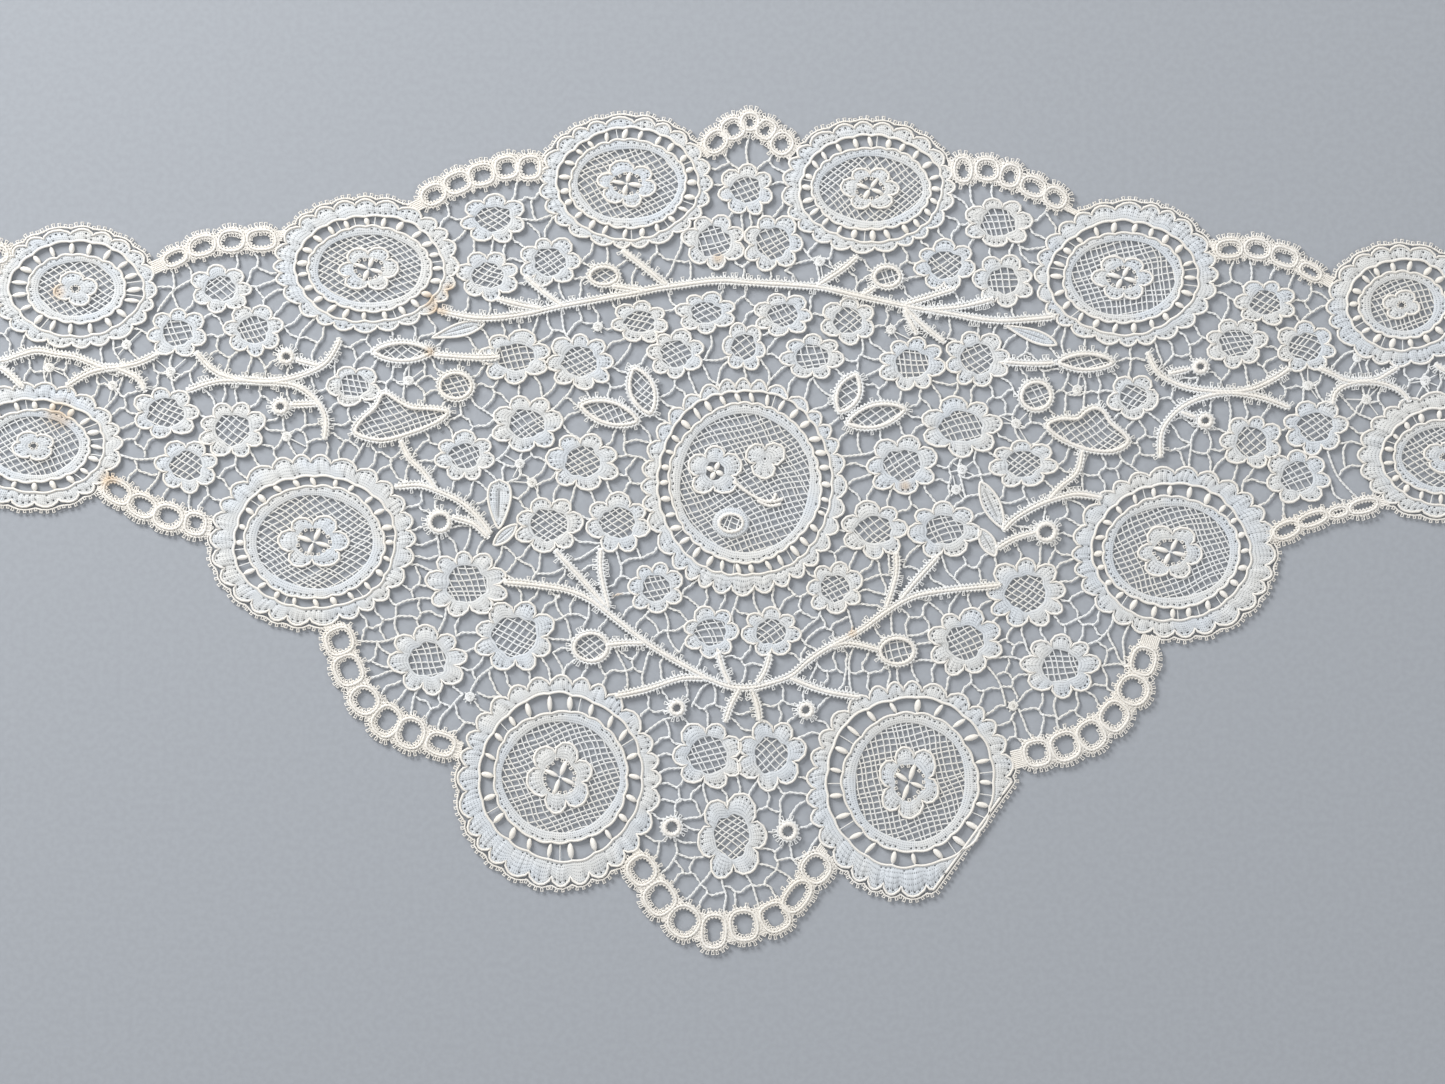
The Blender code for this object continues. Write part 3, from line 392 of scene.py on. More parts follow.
# The closed line through the middles of the edge's medallions and rings
def groundOutline():
    runs = allRuns()
    line = []
    for name in edgeOrder:
        plain = name.rstrip("*")
        isMedallion = plain in medallions and (name.endswith("*") or plain not in runs)
        stops = [medallions[plain][:2]] if isMedallion else runs[plain][1]
        if line and not isMedallion:
            last = np.array(line[-1], float)
            ends = [np.hypot(*(np.array(stops[k], float) - last)) for k in (0, -1)]
            stops = stops if ends[0] <= ends[1] else stops[::-1]
        line.extend(stops)
    return line


# Shader maths on a socket, so that a finish reads as its formula
class Wire:
    def __init__(self, tree, socket):
        self.tree = tree
        self.socket = socket

    def node(self, kind, settings, inputs, output=0):
        made = self.tree.nodes.new(kind)
        for name, value in settings.items():
            setattr(made, name, value)
        for name, value in inputs.items():
            if isinstance(value, Wire):
                self.tree.links.new(value.socket, made.inputs[name])
            else:
                made.inputs[name].default_value = value
        return Wire(self.tree, made.outputs[output])

    def maths(self, operation, *values):
        return self.node("ShaderNodeMath", {"operation": operation}, dict(enumerate(values)))

    def __add__(self, other):
        return self.maths("ADD", self, other)

    def __radd__(self, other):
        return self.maths("ADD", other, self)

    def __sub__(self, other):
        return self.maths("SUBTRACT", self, other)

    def __rsub__(self, other):
        return self.maths("SUBTRACT", other, self)

    def __mul__(self, other):
        return self.maths("MULTIPLY", self, other)

    def __rmul__(self, other):
        return self.maths("MULTIPLY", other, self)

    def most(self, other):
        return self.maths("MAXIMUM", self, other)

    def size(self):
        return self.maths("ABSOLUTE", self)

    def wave(self):
        return self.maths("SINE", self)

    def ease(self, low, high):
        return self.node("ShaderNodeMapRange", {"interpolation_type": "SMOOTHSTEP"},
                         {"Value": self, "From Min": low, "From Max": high})

    def blend(self, first, second):
        return self.node("ShaderNodeMix", {"data_type": "RGBA"}, {0: self, 6: first, 7: second}, 2)

    def noise(self, scale, detail=2.0):
        return self.node("ShaderNodeTexNoise", {}, {"Vector": self, "Scale": scale, "Detail": detail})


def startFinish(name):
    material = bpy.data.materials.new(name)
    material.use_nodes = True
    tree = material.node_tree
    places = Wire(tree, None).node("ShaderNodeTexCoord", {}, {}, "Object")
    return material, tree.nodes["Principled BSDF"], places


def feed(shader, name, wire):
    wire.tree.links.new(wire.socket, shader.inputs[name])


def endFinish(shader, tone, height, finish):
    feed(shader, "Base Color", tone)
    feed(shader, "Normal", height.node("ShaderNodeBump", {}, {
        "Height": height, "Strength": finish["strength"], "Distance": finish["relief"]}))
    shader.inputs["Roughness"].default_value = finish["roughness"]
    shader.inputs["Sheen Weight"].default_value = finish["sheen"]


# x, y, reach of the old tan stains
stains = [(438, 311, 16), (60, 415, 22), (110, 480, 16), (430, 300, 14), (58, 292, 12), (450, 290, 12),
          (430, 352, 9), (905, 486, 9), (852, 632, 8), (618, 596, 8), (718, 258, 9)]
stain = {"tan": (0.62, 0.42, 0.22, 1), "height": 0.0005, "core": 0.1, "threadShare": 0.35,
         "mottleShare": 0.5, "mottle": 900.0, "clothShare": 0.5}


def stainMask(places):
    mask = None
    for x, y, reach in stains:
        middle = toMetres([(x, y, stain["height"])])[0]
        away = places.node("ShaderNodeVectorMath", {"operation": "DISTANCE"}, {0: places, 1: tuple(middle)},
                           "Value")
        spot = 1.0 - away.ease(stain["core"] * reach * chart["square"], reach * chart["square"])
        mask = spot if mask is None else mask.most(spot)
    return mask


patches = {"detail": 3.0, "edge": (0.35, 0.65)}


# The slow change of a thread's tone over the lace
def patchTone(places, scale, pale, warm):
    return places.noise(scale, patches["detail"]).ease(*patches["edge"]).blend(pale, warm)


# The crease share and edge set a painted shade that darkens the thread over fine fibre noise, as shade in its
# creases
threadFinish = {"patch": 55.0, "fibre": 5200.0, "creaseShadeEdge": (0.25, 0.75), "creaseShade": 0.14, "twist": 5600.0,
                "twistBend": 1.5, "twistShare": 0.5, "strength": 0.6, "relief": 0.00006, "roughness": 0.78,
                "sheen": 0.25}
# The cords are of a creamier thread than the nets and the bars: pale, warm, and a painted shade for the
# creases between its fibres
ivory = ((0.91, 0.88, 0.83, 1), (0.88, 0.84, 0.77, 1), (0.68, 0.64, 0.57, 1))
fineWhite = ((0.86, 0.87, 0.87, 1), (0.84, 0.82, 0.77, 1), (0.56, 0.56, 0.55, 1))


def threadMaterial(name, pale, warm, creaseShade):
    finish = threadFinish
    material, shader, places = startFinish(name)
    tone = patchTone(places, finish["patch"], pale, warm)
    mottle = stain["threadShare"] + stain["mottleShare"] * places.noise(stain["mottle"])
    tone = (stainMask(places) * mottle).blend(tone, stain["tan"])
    fibre = places.noise(finish["fibre"])
    # Painted shade: the thread is darkened towards its crease tone where the fine fibre noise is high
    tone = (fibre.ease(*finish["creaseShadeEdge"]) * finish["creaseShade"]).blend(tone, creaseShade)
    twist = places.node("ShaderNodeTexWave", {"bands_direction": "DIAGONAL"}, {
        "Vector": places, "Scale": finish["twist"], "Distortion": finish["twistBend"]}, 1)
    endFinish(shader, tone, twist * finish["twistShare"] + fibre, finish)
    return material


# The gap tone is a painted shade that darkens the gaps between the cloth's threads
clothFinish = {
    "white": (0.61, 0.645, 0.68, 1), "warm": (0.68, 0.68, 0.66, 1), "gap": (0.32, 0.35, 0.39, 1),
    "patch": 70.0, "waver": 420.0, "acrossWaver": 0.5, "alongWaver": 0.4, "streak": 1600.0,
    "streakShare": 0.9, "plainDetail": 1.0, "poreEdge": (0.42, 0.60), "pore": 0.75, "gapShadeEdge": (0.1, 0.8),
    "gapShadeShare": 0.55, "fuzz": 4000.0, "fuzzShare": 0.3, "strength": 0.7, "relief": 0.00008,
    "roughness": 0.85, "sheen": 0.2,
}


# Plain weave by the cloth's own thread count, whose gaps let a little of the floor through and are painted
# darker as shade between the threads
def clothMaterial():
    finish = clothFinish
    material, shader, places = startFinish("white_woven_work")
    threads = places.node("ShaderNodeTexCoord", {}, {}, "UV")
    counts = [threads.node("ShaderNodeSeparateXYZ", {}, {"Vector": threads}, axis) for axis in "XY"]
    sway = places.noise(finish["waver"], finish["plainDetail"]) - 0.5
    across = ((counts[0] + sway * finish["acrossWaver"]) * math.pi).wave().size()
    along = ((counts[1] + sway * finish["alongWaver"]) * math.pi).wave().size()
    gap = (1.0 - across) * (1.0 - along)
    streaks = places.noise(finish["streak"], finish["plainDetail"]) - 0.5
    pores = (gap + streaks * finish["streakShare"]).ease(*finish["poreEdge"])
    tone = patchTone(places, finish["patch"], finish["white"], finish["warm"])
    tone = (stainMask(places) * stain["clothShare"]).blend(tone, stain["tan"])
    # Painted shade: the gaps between the threads are darkened towards the gap tone
    tone = (gap.ease(*finish["gapShadeEdge"]) * finish["gapShadeShare"]).blend(tone, finish["gap"])
    feed(shader, "Alpha", 1.0 - pores * finish["pore"])
    endFinish(shader, tone, across.most(along) + places.noise(finish["fuzz"]) * finish["fuzzShare"], finish)
    return material


threadLook = threadMaterial("ivory_linen_thread", *ivory)
fineLook = threadMaterial("fine_white_thread", *fineWhite)
clothLook = clothMaterial()
print("finishes made")


def show(name, mesh, look, node):
    piece = bpy.data.objects.new(name, mesh)
    bpy.context.collection.objects.link(piece)
    mesh.materials.clear()
    mesh.materials.append(look)
    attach(piece, "root")
    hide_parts(node)
    print(name, "faces", len(mesh.polygons))
    return piece


def showThread(name, mesh, node, isFine):
    if isFine:
        return show(name, mesh, fineLook, node)
    return show(name, mesh, threadLook, node)


bevelRadius = 0.001  # a thread's own radius is counted in these


# The threads of one piece, kept until they are laid as one curve and made a mesh
class Skein:
    def __init__(self, name, node, rounding=0, isFine=False):
        self.name = name
        self.node = node
        self.rounding = rounding
        self.isFine = isFine
        self.threads = []

    def lay(self, points, radius, closed=False):
        if len(points) > 1:
            self.threads.append((toMetres(points), np.broadcast_to(radius, len(points)), closed))

    def piece(self):
        curve = bpy.data.curves.new(self.name, "CURVE")
        curve.dimensions = "3D"
        curve.resolution_u = 1
        curve.bevel_depth = bevelRadius
        curve.bevel_resolution = self.rounding
        curve.use_fill_caps = True
        for points, radii, closed in self.threads:
            spline = curve.splines.new("POLY")
            spline.points.add(len(points) - 1)
            spline.points.foreach_set("co", np.column_stack([points, np.ones(len(points))]).ravel())
            spline.points.foreach_set("radius", radii / curve.bevel_depth)  # bevel depth as stored
            spline.use_cyclic_u = closed
            spline.use_smooth = True
        drawn = bpy.data.objects.new(self.name + "_drawn", curve)
        bpy.context.collection.objects.link(drawn)
        graph = bpy.context.evaluated_depsgraph_get()
        mesh = bpy.data.meshes.new_from_object(drawn.evaluated_get(graph), depsgraph=graph)
        bpy.data.objects.remove(drawn)
        bpy.data.curves.remove(curve)
        return showThread(self.name, mesh, self.node, self.isFine)


cloth = {"pitch": 2.3, "thickness": 0.00014, "pinPitch": 5.7, "pinShare": 0.36, "leastPins": 12,
         "mostShare": 0.42, "gather": 0.06}


# Woven work as a sheet of rings or rows, grown edge by edge, with its weave counted in threads
class Weaving:
    def __init__(self, name, node):
        self.name = name
        self.node = node
        self.sheet = bmesh.new()
        self.counts = self.sheet.loops.layers.uv.verify()
        self.pinned = []

    # Some rows, by their place, have a share of their narrow spans left open as pinholes
    def strip(self, loops, pinRows=None):
        pinShares = pinRows or {}
        placed = [toMetres(loop) for loop in loops]
        count = len(loops[0])
        middle = np.array(loops[len(loops) // 2])[:, :2]
        gone = np.concatenate([[0], np.cumsum(np.hypot(*(np.roll(middle, -1, axis=0) - middle).T))])
        threads = gone / gone[-1] * round(gone[-1] / cloth["pitch"])
        risen = 0.0
        verts = [self.sheet.verts.new(point) for point in placed[0]]
        edges = [self.sheet.edges.new(pair) for pair in zip(verts, verts[1:] + verts[:1])]
        for row in range(1, len(loops)):
            apart = np.hypot(*(np.array(loops[row])[:, :2] - np.array(loops[row - 1])[:, :2]).T).mean()
            grown = bmesh.ops.extrude_edge_only(self.sheet, edges=edges)["geom"]
            fresh = {part for part in grown if isinstance(part, bmesh.types.BMVert)}
            above = []
            for vert, place in zip(verts, placed[row]):
                others = (edge.other_vert(vert) for edge in vert.link_edges)
                newer = next(other for other in others if other in fresh)
                newer.co = place
                above.append(newer)
            counts = {}
            for k in range(count):
                counts[verts[k]] = (k, risen)
                counts[above[k]] = (k, risen + apart / cloth["pitch"])
            for face in (part for part in grown if isinstance(part, bmesh.types.BMFace)):
                places = {counts[corner.vert][0] for corner in face.loops}
                isLast = places == {0, count - 1}
                span = count - 1 if isLast else min(places)
                for corner in face.loops:
                    k, up = counts[corner.vert]
                    corner[self.counts].uv = (threads[count if isLast and k == 0 else k], up)
                if span % 2 and chance(span, row, gone[-1]) < pinShares.get(row - 1, 0.0):
                    self.pinned.append(face)
            edges = [self.sheet.edges.get((a, b)) for a, b in zip(above, above[1:] + above[:1])]
            verts = above
            risen += apart / cloth["pitch"]

    def piece(self):
        bmesh.ops.delete(self.sheet, geom=self.pinned, context="FACES_ONLY")
        self.sheet.normal_update()
        downward = [face for face in self.sheet.faces if face.normal.z < 0]
        bmesh.ops.reverse_faces(self.sheet, faces=downward)
        area = sum(face.calc_area() for face in self.sheet.faces)
        for face in self.sheet.faces:
            face.smooth = True
        mesh = bpy.data.meshes.new(self.name)
        self.sheet.to_mesh(mesh)
        self.sheet.free()
        piece = show(self.name, mesh, clothLook, self.node)
        wall = piece.modifiers.new("thickness", "SOLIDIFY")
        wall.thickness = cloth["thickness"]
        wall.offset = 0.0
        return piece, area


# Angles of a woven ring's threads: every other span is narrow, and is left open in a row of pinholes
def pinAngles(halfWidth, halfHeight, turn=0.0):
    around = math.pi * (halfWidth + halfHeight)
    pins = max(int(round(around / cloth["pinPitch"])), cloth["leastPins"])
    angles = []
    for pin in range(pins):
        angles.append(turn + 2 * math.pi * pin / pins)
        angles.append(turn + 2 * math.pi * (pin + 1 - cloth["pinShare"]) / pins)
    return np.array(angles)


def evenAngles(count):
    return np.linspace(0, 2 * math.pi, count + 1)[:-1]


def oval(x, y, halfWidth, halfHeight, angles):
    return np.column_stack([x + halfWidth * np.cos(angles), y + halfHeight * np.sin(angles)])


# Reach of a lobed edge, 1 at the middle of each lobe, with narrow notches between
def lobeReach(angles, lobes, turn, depth, power):
    return 1.0 - depth * (1.0 - np.abs(np.cos(lobes * (angles - turn) / 2.0)) ** power)


# Points spread so that the notches are drawn as finely as the lobes
def lobeAngles(lobes, turn, perLobe):
    angles = []
    for lobe in range(lobes):
        for step in range(perLobe):
            t = -0.5 + step / perLobe
            t = t - cloth["gather"] * math.sin(4 * math.pi * t)
            angles.append(turn + 2 * math.pi * (lobe + t) / lobes)
    return np.array(angles)


# Loops between an inner and an outer one, each at so many squares in from either, or part way
def loopsBetween(inner, outer, rows):
    gap = np.hypot(*(outer - inner).T)
    loops = []
    for fromInner, fromOuter, share, height in rows:
        if share is not None:
            part = np.full(len(gap), share)
        elif fromInner is not None:
            part = np.minimum(fromInner / np.maximum(gap, 1e-6), cloth["mostShare"])
        else:
            part = 1.0 - np.minimum(fromOuter / np.maximum(gap, 1e-6), cloth["mostShare"])
        loops.append(atHeight(inner + (outer - inner) * part[:, None], height))
    return loops


net = {"pitch": 5.7, "radius": 0.00014, "step": 4.6, "sway": 1.0, "bend": 3.4, "bendLength": 24.0,
       "uneven": 0.45, "crossing": 76.0, "low": 0.00036, "high": 0.00048}


# Two families of crossing threads over a region, each wavering a little
def netThreads(skein, within, low, high, turn, seed, pitch=net["pitch"], crossing=net["crossing"]):
    middle = (np.array(low) + np.array(high)) / 2
    half = np.hypot(*(np.array(high) - np.array(low))) / 2
    families = ((turn, net["low"]), (turn + crossing, net["high"]))
    for family, (angle, height) in enumerate(families):
        way = np.array([math.cos(math.radians(angle)), math.sin(math.radians(angle))])
        side = np.array([-way[1], way[0]])
        alongs = np.arange(-half, half + net["step"], net["step"])
        for index in range(int(-half / pitch), int(half / pitch) + 1):
            place = index + net["uneven"] * (chance(index, seed, family) - 0.5)
            line = middle + way * alongs[:, None] + side * place * pitch
            sway = net["sway"] * drift(line[:, 0], line[:, 1], seed + 3.0 * family)
            sway = sway + net["bend"] * drift(line[:, 0], line[:, 1], seed + 5.0, net["bendLength"])
            line = line + side * sway[:, None]
            inside = within(line[:, 0], line[:, 1])
            edges = np.nonzero(np.diff(np.concatenate([[False], inside, [False]]).astype(int)))[0]
            for start, stop in zip(edges[::2], edges[1::2]):
                start = max(start - 1, 0)
                skein.lay(atHeight(line[start:stop + 1], height), net["radius"])


picot = {"radius": 0.00014, "half": 1.4, "neck": 0.5, "root": -0.8, "shoulders": (0.75, 0.8),
         "uneven": (0.6, 0.6)}


# A tiny loop of thread standing out from an edge
def layPicot(skein, x, y, outX, outY, height, reach):
    half = picot["half"]
    lower, upper = picot["shoulders"]
    points = [(-half * picot["neck"], picot["root"]), (-half, reach * lower), (half, reach * upper),
              (half * picot["neck"], picot["root"])]
    laid = [(x + outX * out - outY * side, y + outY * out + outX * side, height) for side, out in points]
    skein.lay(laid, picot["radius"])


tally = {"width": 0.00053, "height": 0.00034, "thread": 0.00012, "share": 0.40, "turn": 0.25,
         "armReach": 1.15, "armPlump": (0.78, 0.24)}


# A plump woven grain between two points, with a thread at either end
def layGrain(grains, skein, start, stop, height, plump=1.0):
    a, b = (Vector(toMetres([(point[0], point[1], height)])[0]) for point in (start, stop))
    run = b - a
    length = run.length
    turn = run.to_track_quat("Z", "Y").to_matrix().to_4x4()
    size = Matrix.Diagonal((tally["width"] * plump, tally["height"] * plump, length * tally["share"], 1.0))
    flat = Matrix.Translation((a + b) / 2) @ turn @ size
    bmesh.ops.create_uvsphere(grains, u_segments=8, v_segments=6, radius=1.0, matrix=flat)
    skein.lay([(start[0], start[1], height), (stop[0], stop[1], height)], tally["thread"])


def grainPiece(grains, name, node, isFine=False):
    bmesh.ops.recalc_face_normals(grains, faces=grains.faces[:])
    for face in grains.faces:
        face.smooth = True
    mesh = bpy.data.meshes.new(name)
    grains.to_mesh(mesh)
    grains.free()
    return showThread(name, mesh, node, isFine)


petal = {"depth": 0.35, "notch": 0.5, "turnStep": 17.0, "wider": 1.07, "taller": 1.02, "outline": 0.00024,
         "perLobe": 8, "waver": 0.06, "bend": 0.13, "cordHeight": 0.00062, "inset": 1.5, "cordInset": 1.4,
         "holeBend": 0.08, "holeNick": 0.05}
openingShare = (0.52, 0.50)
# The rows of woven work: squares out from the inner edge, or in from the outer one, or the share of the
# way between them, then the height
flowerRows = [
    (0.0, None, None, 0.00050), (0.9, None, None, 0.00058), (None, 4.6, None, 0.00060),
    (None, 3.0, None, 0.00058), (None, 0.4, None, 0.00052),
]
# The share of the spans left open as pinholes, by the row below them
flowerPins = {2: 0.8}


# A woven flower: cloth petals with a row of pinholes inside their cord, about an opening
def makeFlower(weaving, cords, row, turn, seed, openingX, openingY, opening, depth=petal["depth"]):
    x, y, halfWidth, halfHeight, petals = row

    def edgeAt(angles, inset):
        bent = bendAngles(angles, seed, petal["bend"], 1)
        reach = lobeReach(bent, petals, turn, depth, petal["notch"]) * (
            1 + petal["waver"] * ripple(angles, seed, 2))
        return oval(x, y, (halfWidth - inset) * reach, (halfHeight - inset) * reach, angles)

    angles = pinAngles(halfWidth, halfHeight, turn)
    hole = 1 + petal["holeBend"] * ripple(angles, seed + 5, 3)
    hole = hole + petal["holeNick"] * ripple(angles, seed + 9, 8)
    inner = oval(openingX, openingY, opening[0] * hole, opening[1] * hole, angles)
    weaving.strip(loopsBetween(inner, edgeAt(angles, petal["inset"]), flowerRows), flowerPins)
    finer = unbendAngles(lobeAngles(petals, turn, petal["perLobe"]), seed, petal["bend"], 1)
    cords.lay(atHeight(edgeAt(finer, petal["cordInset"]), petal["cordHeight"]), petal["outline"], True)
    return inner


# The sprigs' flowers are a little larger in their dressed state than in the part
def dressedFlower(x, y, halfWidth, halfHeight, petals):
    return x, y, halfWidth * petal["wider"], halfHeight * petal["taller"], petals


def withinOval(x, y, halfWidth, halfHeight):
    def within(gx, gy):
        return np.hypot((gx - x) / halfWidth, (gy - y) / halfHeight) < 1.0
    return within


scallop = {"depth": 0.088, "notch": 0.6, "bend": 0.05, "waves": 5, "outline": 0.00024, "perLobe": 7,
           "cordHeight": 0.00066, "waver": 0.008, "inset": 1.5, "cordInset": 1.4}
bandRows = [
    (0.0, None, None, 0.00052), (2.2, None, None, 0.00060), (3.6, None, None, 0.00063),
    (None, 4.8, None, 0.00063), (None, 3.2, None, 0.00060), (None, 0.4, None, 0.00052),
]
bandPins = {1: 0.4, 3: 0.8}
wovenRingRows = [
    (0.0, None, None, 0.00048), (0.9, None, None, 0.00057), (None, None, 0.5, 0.00061),
    (None, 4.0, None, 0.00062), (None, 2.6, None, 0.00060), (None, 0.2, None, 0.00054),
]
wovenRingPins = {3: 0.75}
openRing = {"wider": (-0.8, 1.6), "cord": 0.00024, "cordHeight": 0.00066, "waver": 0.02, "bulge": 1.5,
            "unevenBulge": 0.5, "bulgeMiddle": 0.6, "perGrain": 5, "grainHeight": 0.00055, "grainShift": 0.2,
            "grainPlump": (0.8, 0.4), "lean": 0.035, "ownLean": 0.03, "strays": 0.28, "stray": 0.00011}
outerPicot = {"spacing": 5.9, "stand": 1.6, "depth": 0.045, "thread": 0.00018, "height": 0.00055,
              "reach": (3.2, 2.0)}
medallionFlower = {"petals": 6, "wider": 1.06, "taller": 1.08, "opening": 0.50, "loopSpacing": 6.5,
                   "loopReach": 3.0, "shift": -1, "crossTurn": (0.2, 0.4)}
# The flowers in the bands' medallions have fewer petals, about a small plain hole
bandFlower = {"petals": 4, "wider": 1.04, "taller": 1.04, "opening": 0.21, "loopSpacing": 5.0,
              "loopReach": 1.6, "shift": -1}
# The motifs in the centre medallion: x, y, half width, half height, petals, turn, depth, opening half sizes
centreFlowers = [(715, 471, 28.5, 27.5, 5, -0.3, 0.38, 9, 9), (765, 459, 22, 21, 3, -0.5, 0.52, 0, 0)]
# The same for the little ring, without petals
centreRing = (731, 523, 19, 16, 10.5, 7.5)
centreStem = [
    [(733, 481), (744, 490), (757, 498), (769, 502), (783, 499)], [(757, 500), (769, 506), (781, 504)],
    [(766, 502), (773, 500), (776, 493)],
]
centreWork = {"stemHalf": 0.00034, "seedSpan": 9.0, "leastOpening": 1.0, "crossTurn": 0.5, "ringPoints": 24,
              "cordStand": 1.5, "thicker": 1.4, "netTurn": 35, "netPitch": 5.0}
netShare = 0.86  # share of a flower's reach at which the net round it begins


def straighten(name, points, inset):
    for owner, sideX, sideY, wayOut in straightSides:
        if owner == name:
            way = np.array([math.cos(math.radians(wayOut)), math.sin(math.radians(wayOut))])
            beyond = np.maximum((points - (sideX, sideY)) @ way + inset, 0.0)
            points = points - way * beyond[:, None]
    return points


def scallopedEdge(name, angles, inset, seed, depth=scallop["depth"]):
    x, y, halfWidth, halfHeight, lobes = medallions[name][:5]
    bent = bendAngles(angles, seed, scallop["bend"], scallop["waves"])
    reach = lobeReach(bent, lobes, 0.0, depth, scallop["notch"]) * (
        1 + scallop["waver"] * ripple(angles, seed, 3))
    line = oval(x, y, (halfWidth - inset) * reach, (halfHeight - inset) * reach, angles)
    return straighten(name, line, inset)


# Four woven grains that meet in a flower's opening
def crossOfTallies(grains, skein, x, y, halfWidth, halfHeight, turn, height):
    reach = tally["armReach"]
    plump, uneven = tally["armPlump"]
    for arm in range(4):
        angle = turn + arm * math.pi / 2 + tally["turn"] * (chance(x, y, arm) - 0.5)
        outer = (x + reach * halfWidth * math.cos(angle), y + reach * halfHeight * math.sin(angle))
        layGrain(grains, skein, (x, y), outer, height, plump + uneven * chance(y, x, arm))


def netOval(skein, x, y, halfWidth, halfHeight, turn, seed, pitch):
    netThreads(skein, withinOval(x, y, halfWidth, halfHeight), (x - halfWidth, y - halfHeight),
               (x + halfWidth, y + halfHeight), turn, seed, pitch)


# The centre medallion's motifs; what comes back is the ovals that its net leaves out
def fillCentre(weaving, cords, threads, grains, seed):
    shapes = []
    for x, y, halfWidth, halfHeight, petals, turn, depth, openX, openY in centreFlowers:
        opening = (max(openX, centreWork["leastOpening"]), max(openY, centreWork["leastOpening"]))
        row = (x, y, halfWidth, halfHeight, petals)
        makeFlower(weaving, cords, row, turn, x / centreWork["seedSpan"], x, y, opening, depth)
        shapes.append((x, y, halfWidth * netShare, halfHeight * netShare))
        if openX:
            crossOfTallies(grains, threads, x, y, openX, openY, centreWork["crossTurn"], petal["cordHeight"])
    x, y, halfWidth, halfHeight, openX, openY = centreRing
    angles = pinAngles(halfWidth, halfHeight)
    inner, outer = oval(x, y, openX, openY, angles), oval(x, y, halfWidth, halfHeight, angles)
    weaving.strip(loopsBetween(inner, outer, flowerRows))
    stand = centreWork["cordStand"]
    inner = oval(x, y, openX + stand, openY + stand, evenAngles(centreWork["ringPoints"]))
    coveredCord(cords, inner, centreWork["thicker"] * petal["outline"], petal["cordHeight"], True)
    netOval(threads, x, y, openX, openY, centreWork["netTurn"], seed, centreWork["netPitch"])
    shapes.append((x, y, halfWidth, halfHeight))
    for points in centreStem:
        coveredCord(cords, smoothRoute(points), centreWork["stemHalf"], petal["cordHeight"])
    return shapes


# Loops that stand in from the edge of an opening
def loopsInside(skein, inner, spacing, reach, height):
    spots = stepRoute(inner, spacing, True)
    ways = spots.mean(axis=0) - spots
    ways = ways / np.hypot(*ways.T)[:, None]
    least, more = picot["uneven"]
    for spot, way in zip(spots, ways):
        layPicot(skein, *spot, *way, height, reach * (least + more * chance(*spot)))


# One flower in the middle of a medallion; what comes back is the oval that the net leaves out
def fillWithFlower(weaving, cords, threads, picots, grains, name, seed):
    ringX, y = medallions[name][5:7]
    flowerWide, flowerHigh = medallions[name][9:]
    flowerTurn = math.radians(fillings[name][-1])
    flower = bandFlower if name.startswith("band") else medallionFlower
    x = ringX + flower["shift"]
    opening = (flowerWide * flower["opening"], flowerHigh * flower["opening"])
    row = (x, y, flowerWide * flower["wider"], flowerHigh * flower["taller"], flower["petals"])
    inner = makeFlower(weaving, cords, row, flowerTurn, seed, x, y, opening)
    loopsInside(picots, inner, flower["loopSpacing"], flower["loopReach"], petal["cordHeight"])
    if "crossTurn" in flower:
        least, more = flower["crossTurn"]
        crossOfTallies(grains, threads, x, y, *opening, least + more * chance(seed), petal["cordHeight"])
    return [(x, y, flowerWide * netShare, flowerHigh * netShare)]


# The grains across the open ring, whose two edges come from ringEdge, and its few stray threads
def crossRing(grains, threads, ringEdge, count, seed):
    plump, uneven = openRing["grainPlump"]
    for k in range(count):
        angle = 2 * math.pi * (k + openRing["grainShift"] * (chance(seed, k) - 0.5)) / count
        lean = openRing["lean"] * ripple(angle, seed, 2) + openRing["ownLean"] * (chance(seed, k, 7) - 0.5)
        start = ringEdge(np.array([angle - lean]), 0)[0]
        stop = ringEdge(np.array([angle + lean]), 1)[0]
        layGrain(grains, threads, start, stop, openRing["grainHeight"], plump + uneven * chance(seed, k, 3))
        if chance(seed, k, 9) < openRing["strays"]:
            stray = angle + math.pi / count
            ends = [ringEdge(np.array([stray + lean]), share)[0] for share in (0, 1)]
            threads.lay(atHeight(ends, openRing["grainHeight"]), openRing["stray"])


# Picots, and the thread that they hang on, along the part of a medallion that is the lace's own edge
def edgeMedallion(picots, name, seed, finer, edgeLine):
    line = scallopedEdge(name, finer, -outerPicot["stand"], seed, outerPicot["depth"])
    spots = stepRoute(line, outerPicot["spacing"], True)
    outer = ~insidePolygon(spots[:, 0], spots[:, 1], edgeLine)
    ways = -sideways(spots, True)
    if ((spots - medallions[name][:2]) * ways).sum() < 0:
        ways = -ways
    least, more = outerPicot["reach"]
    for place, way, isOuter in zip(spots, ways, outer):
        if isOuter:
            layPicot(picots, *place, *way, outerPicot["height"], least + more * chance(*place))
    changes = np.nonzero(outer & ~np.roll(outer, 1))[0]
    if len(changes):
        turned = np.roll(np.column_stack([spots, outer]), -changes[0], axis=0)
        run = turned[turned[:, 2] > 0][:, :2]
        picots.lay(atHeight(run, outerPicot["height"]), outerPicot["thread"])


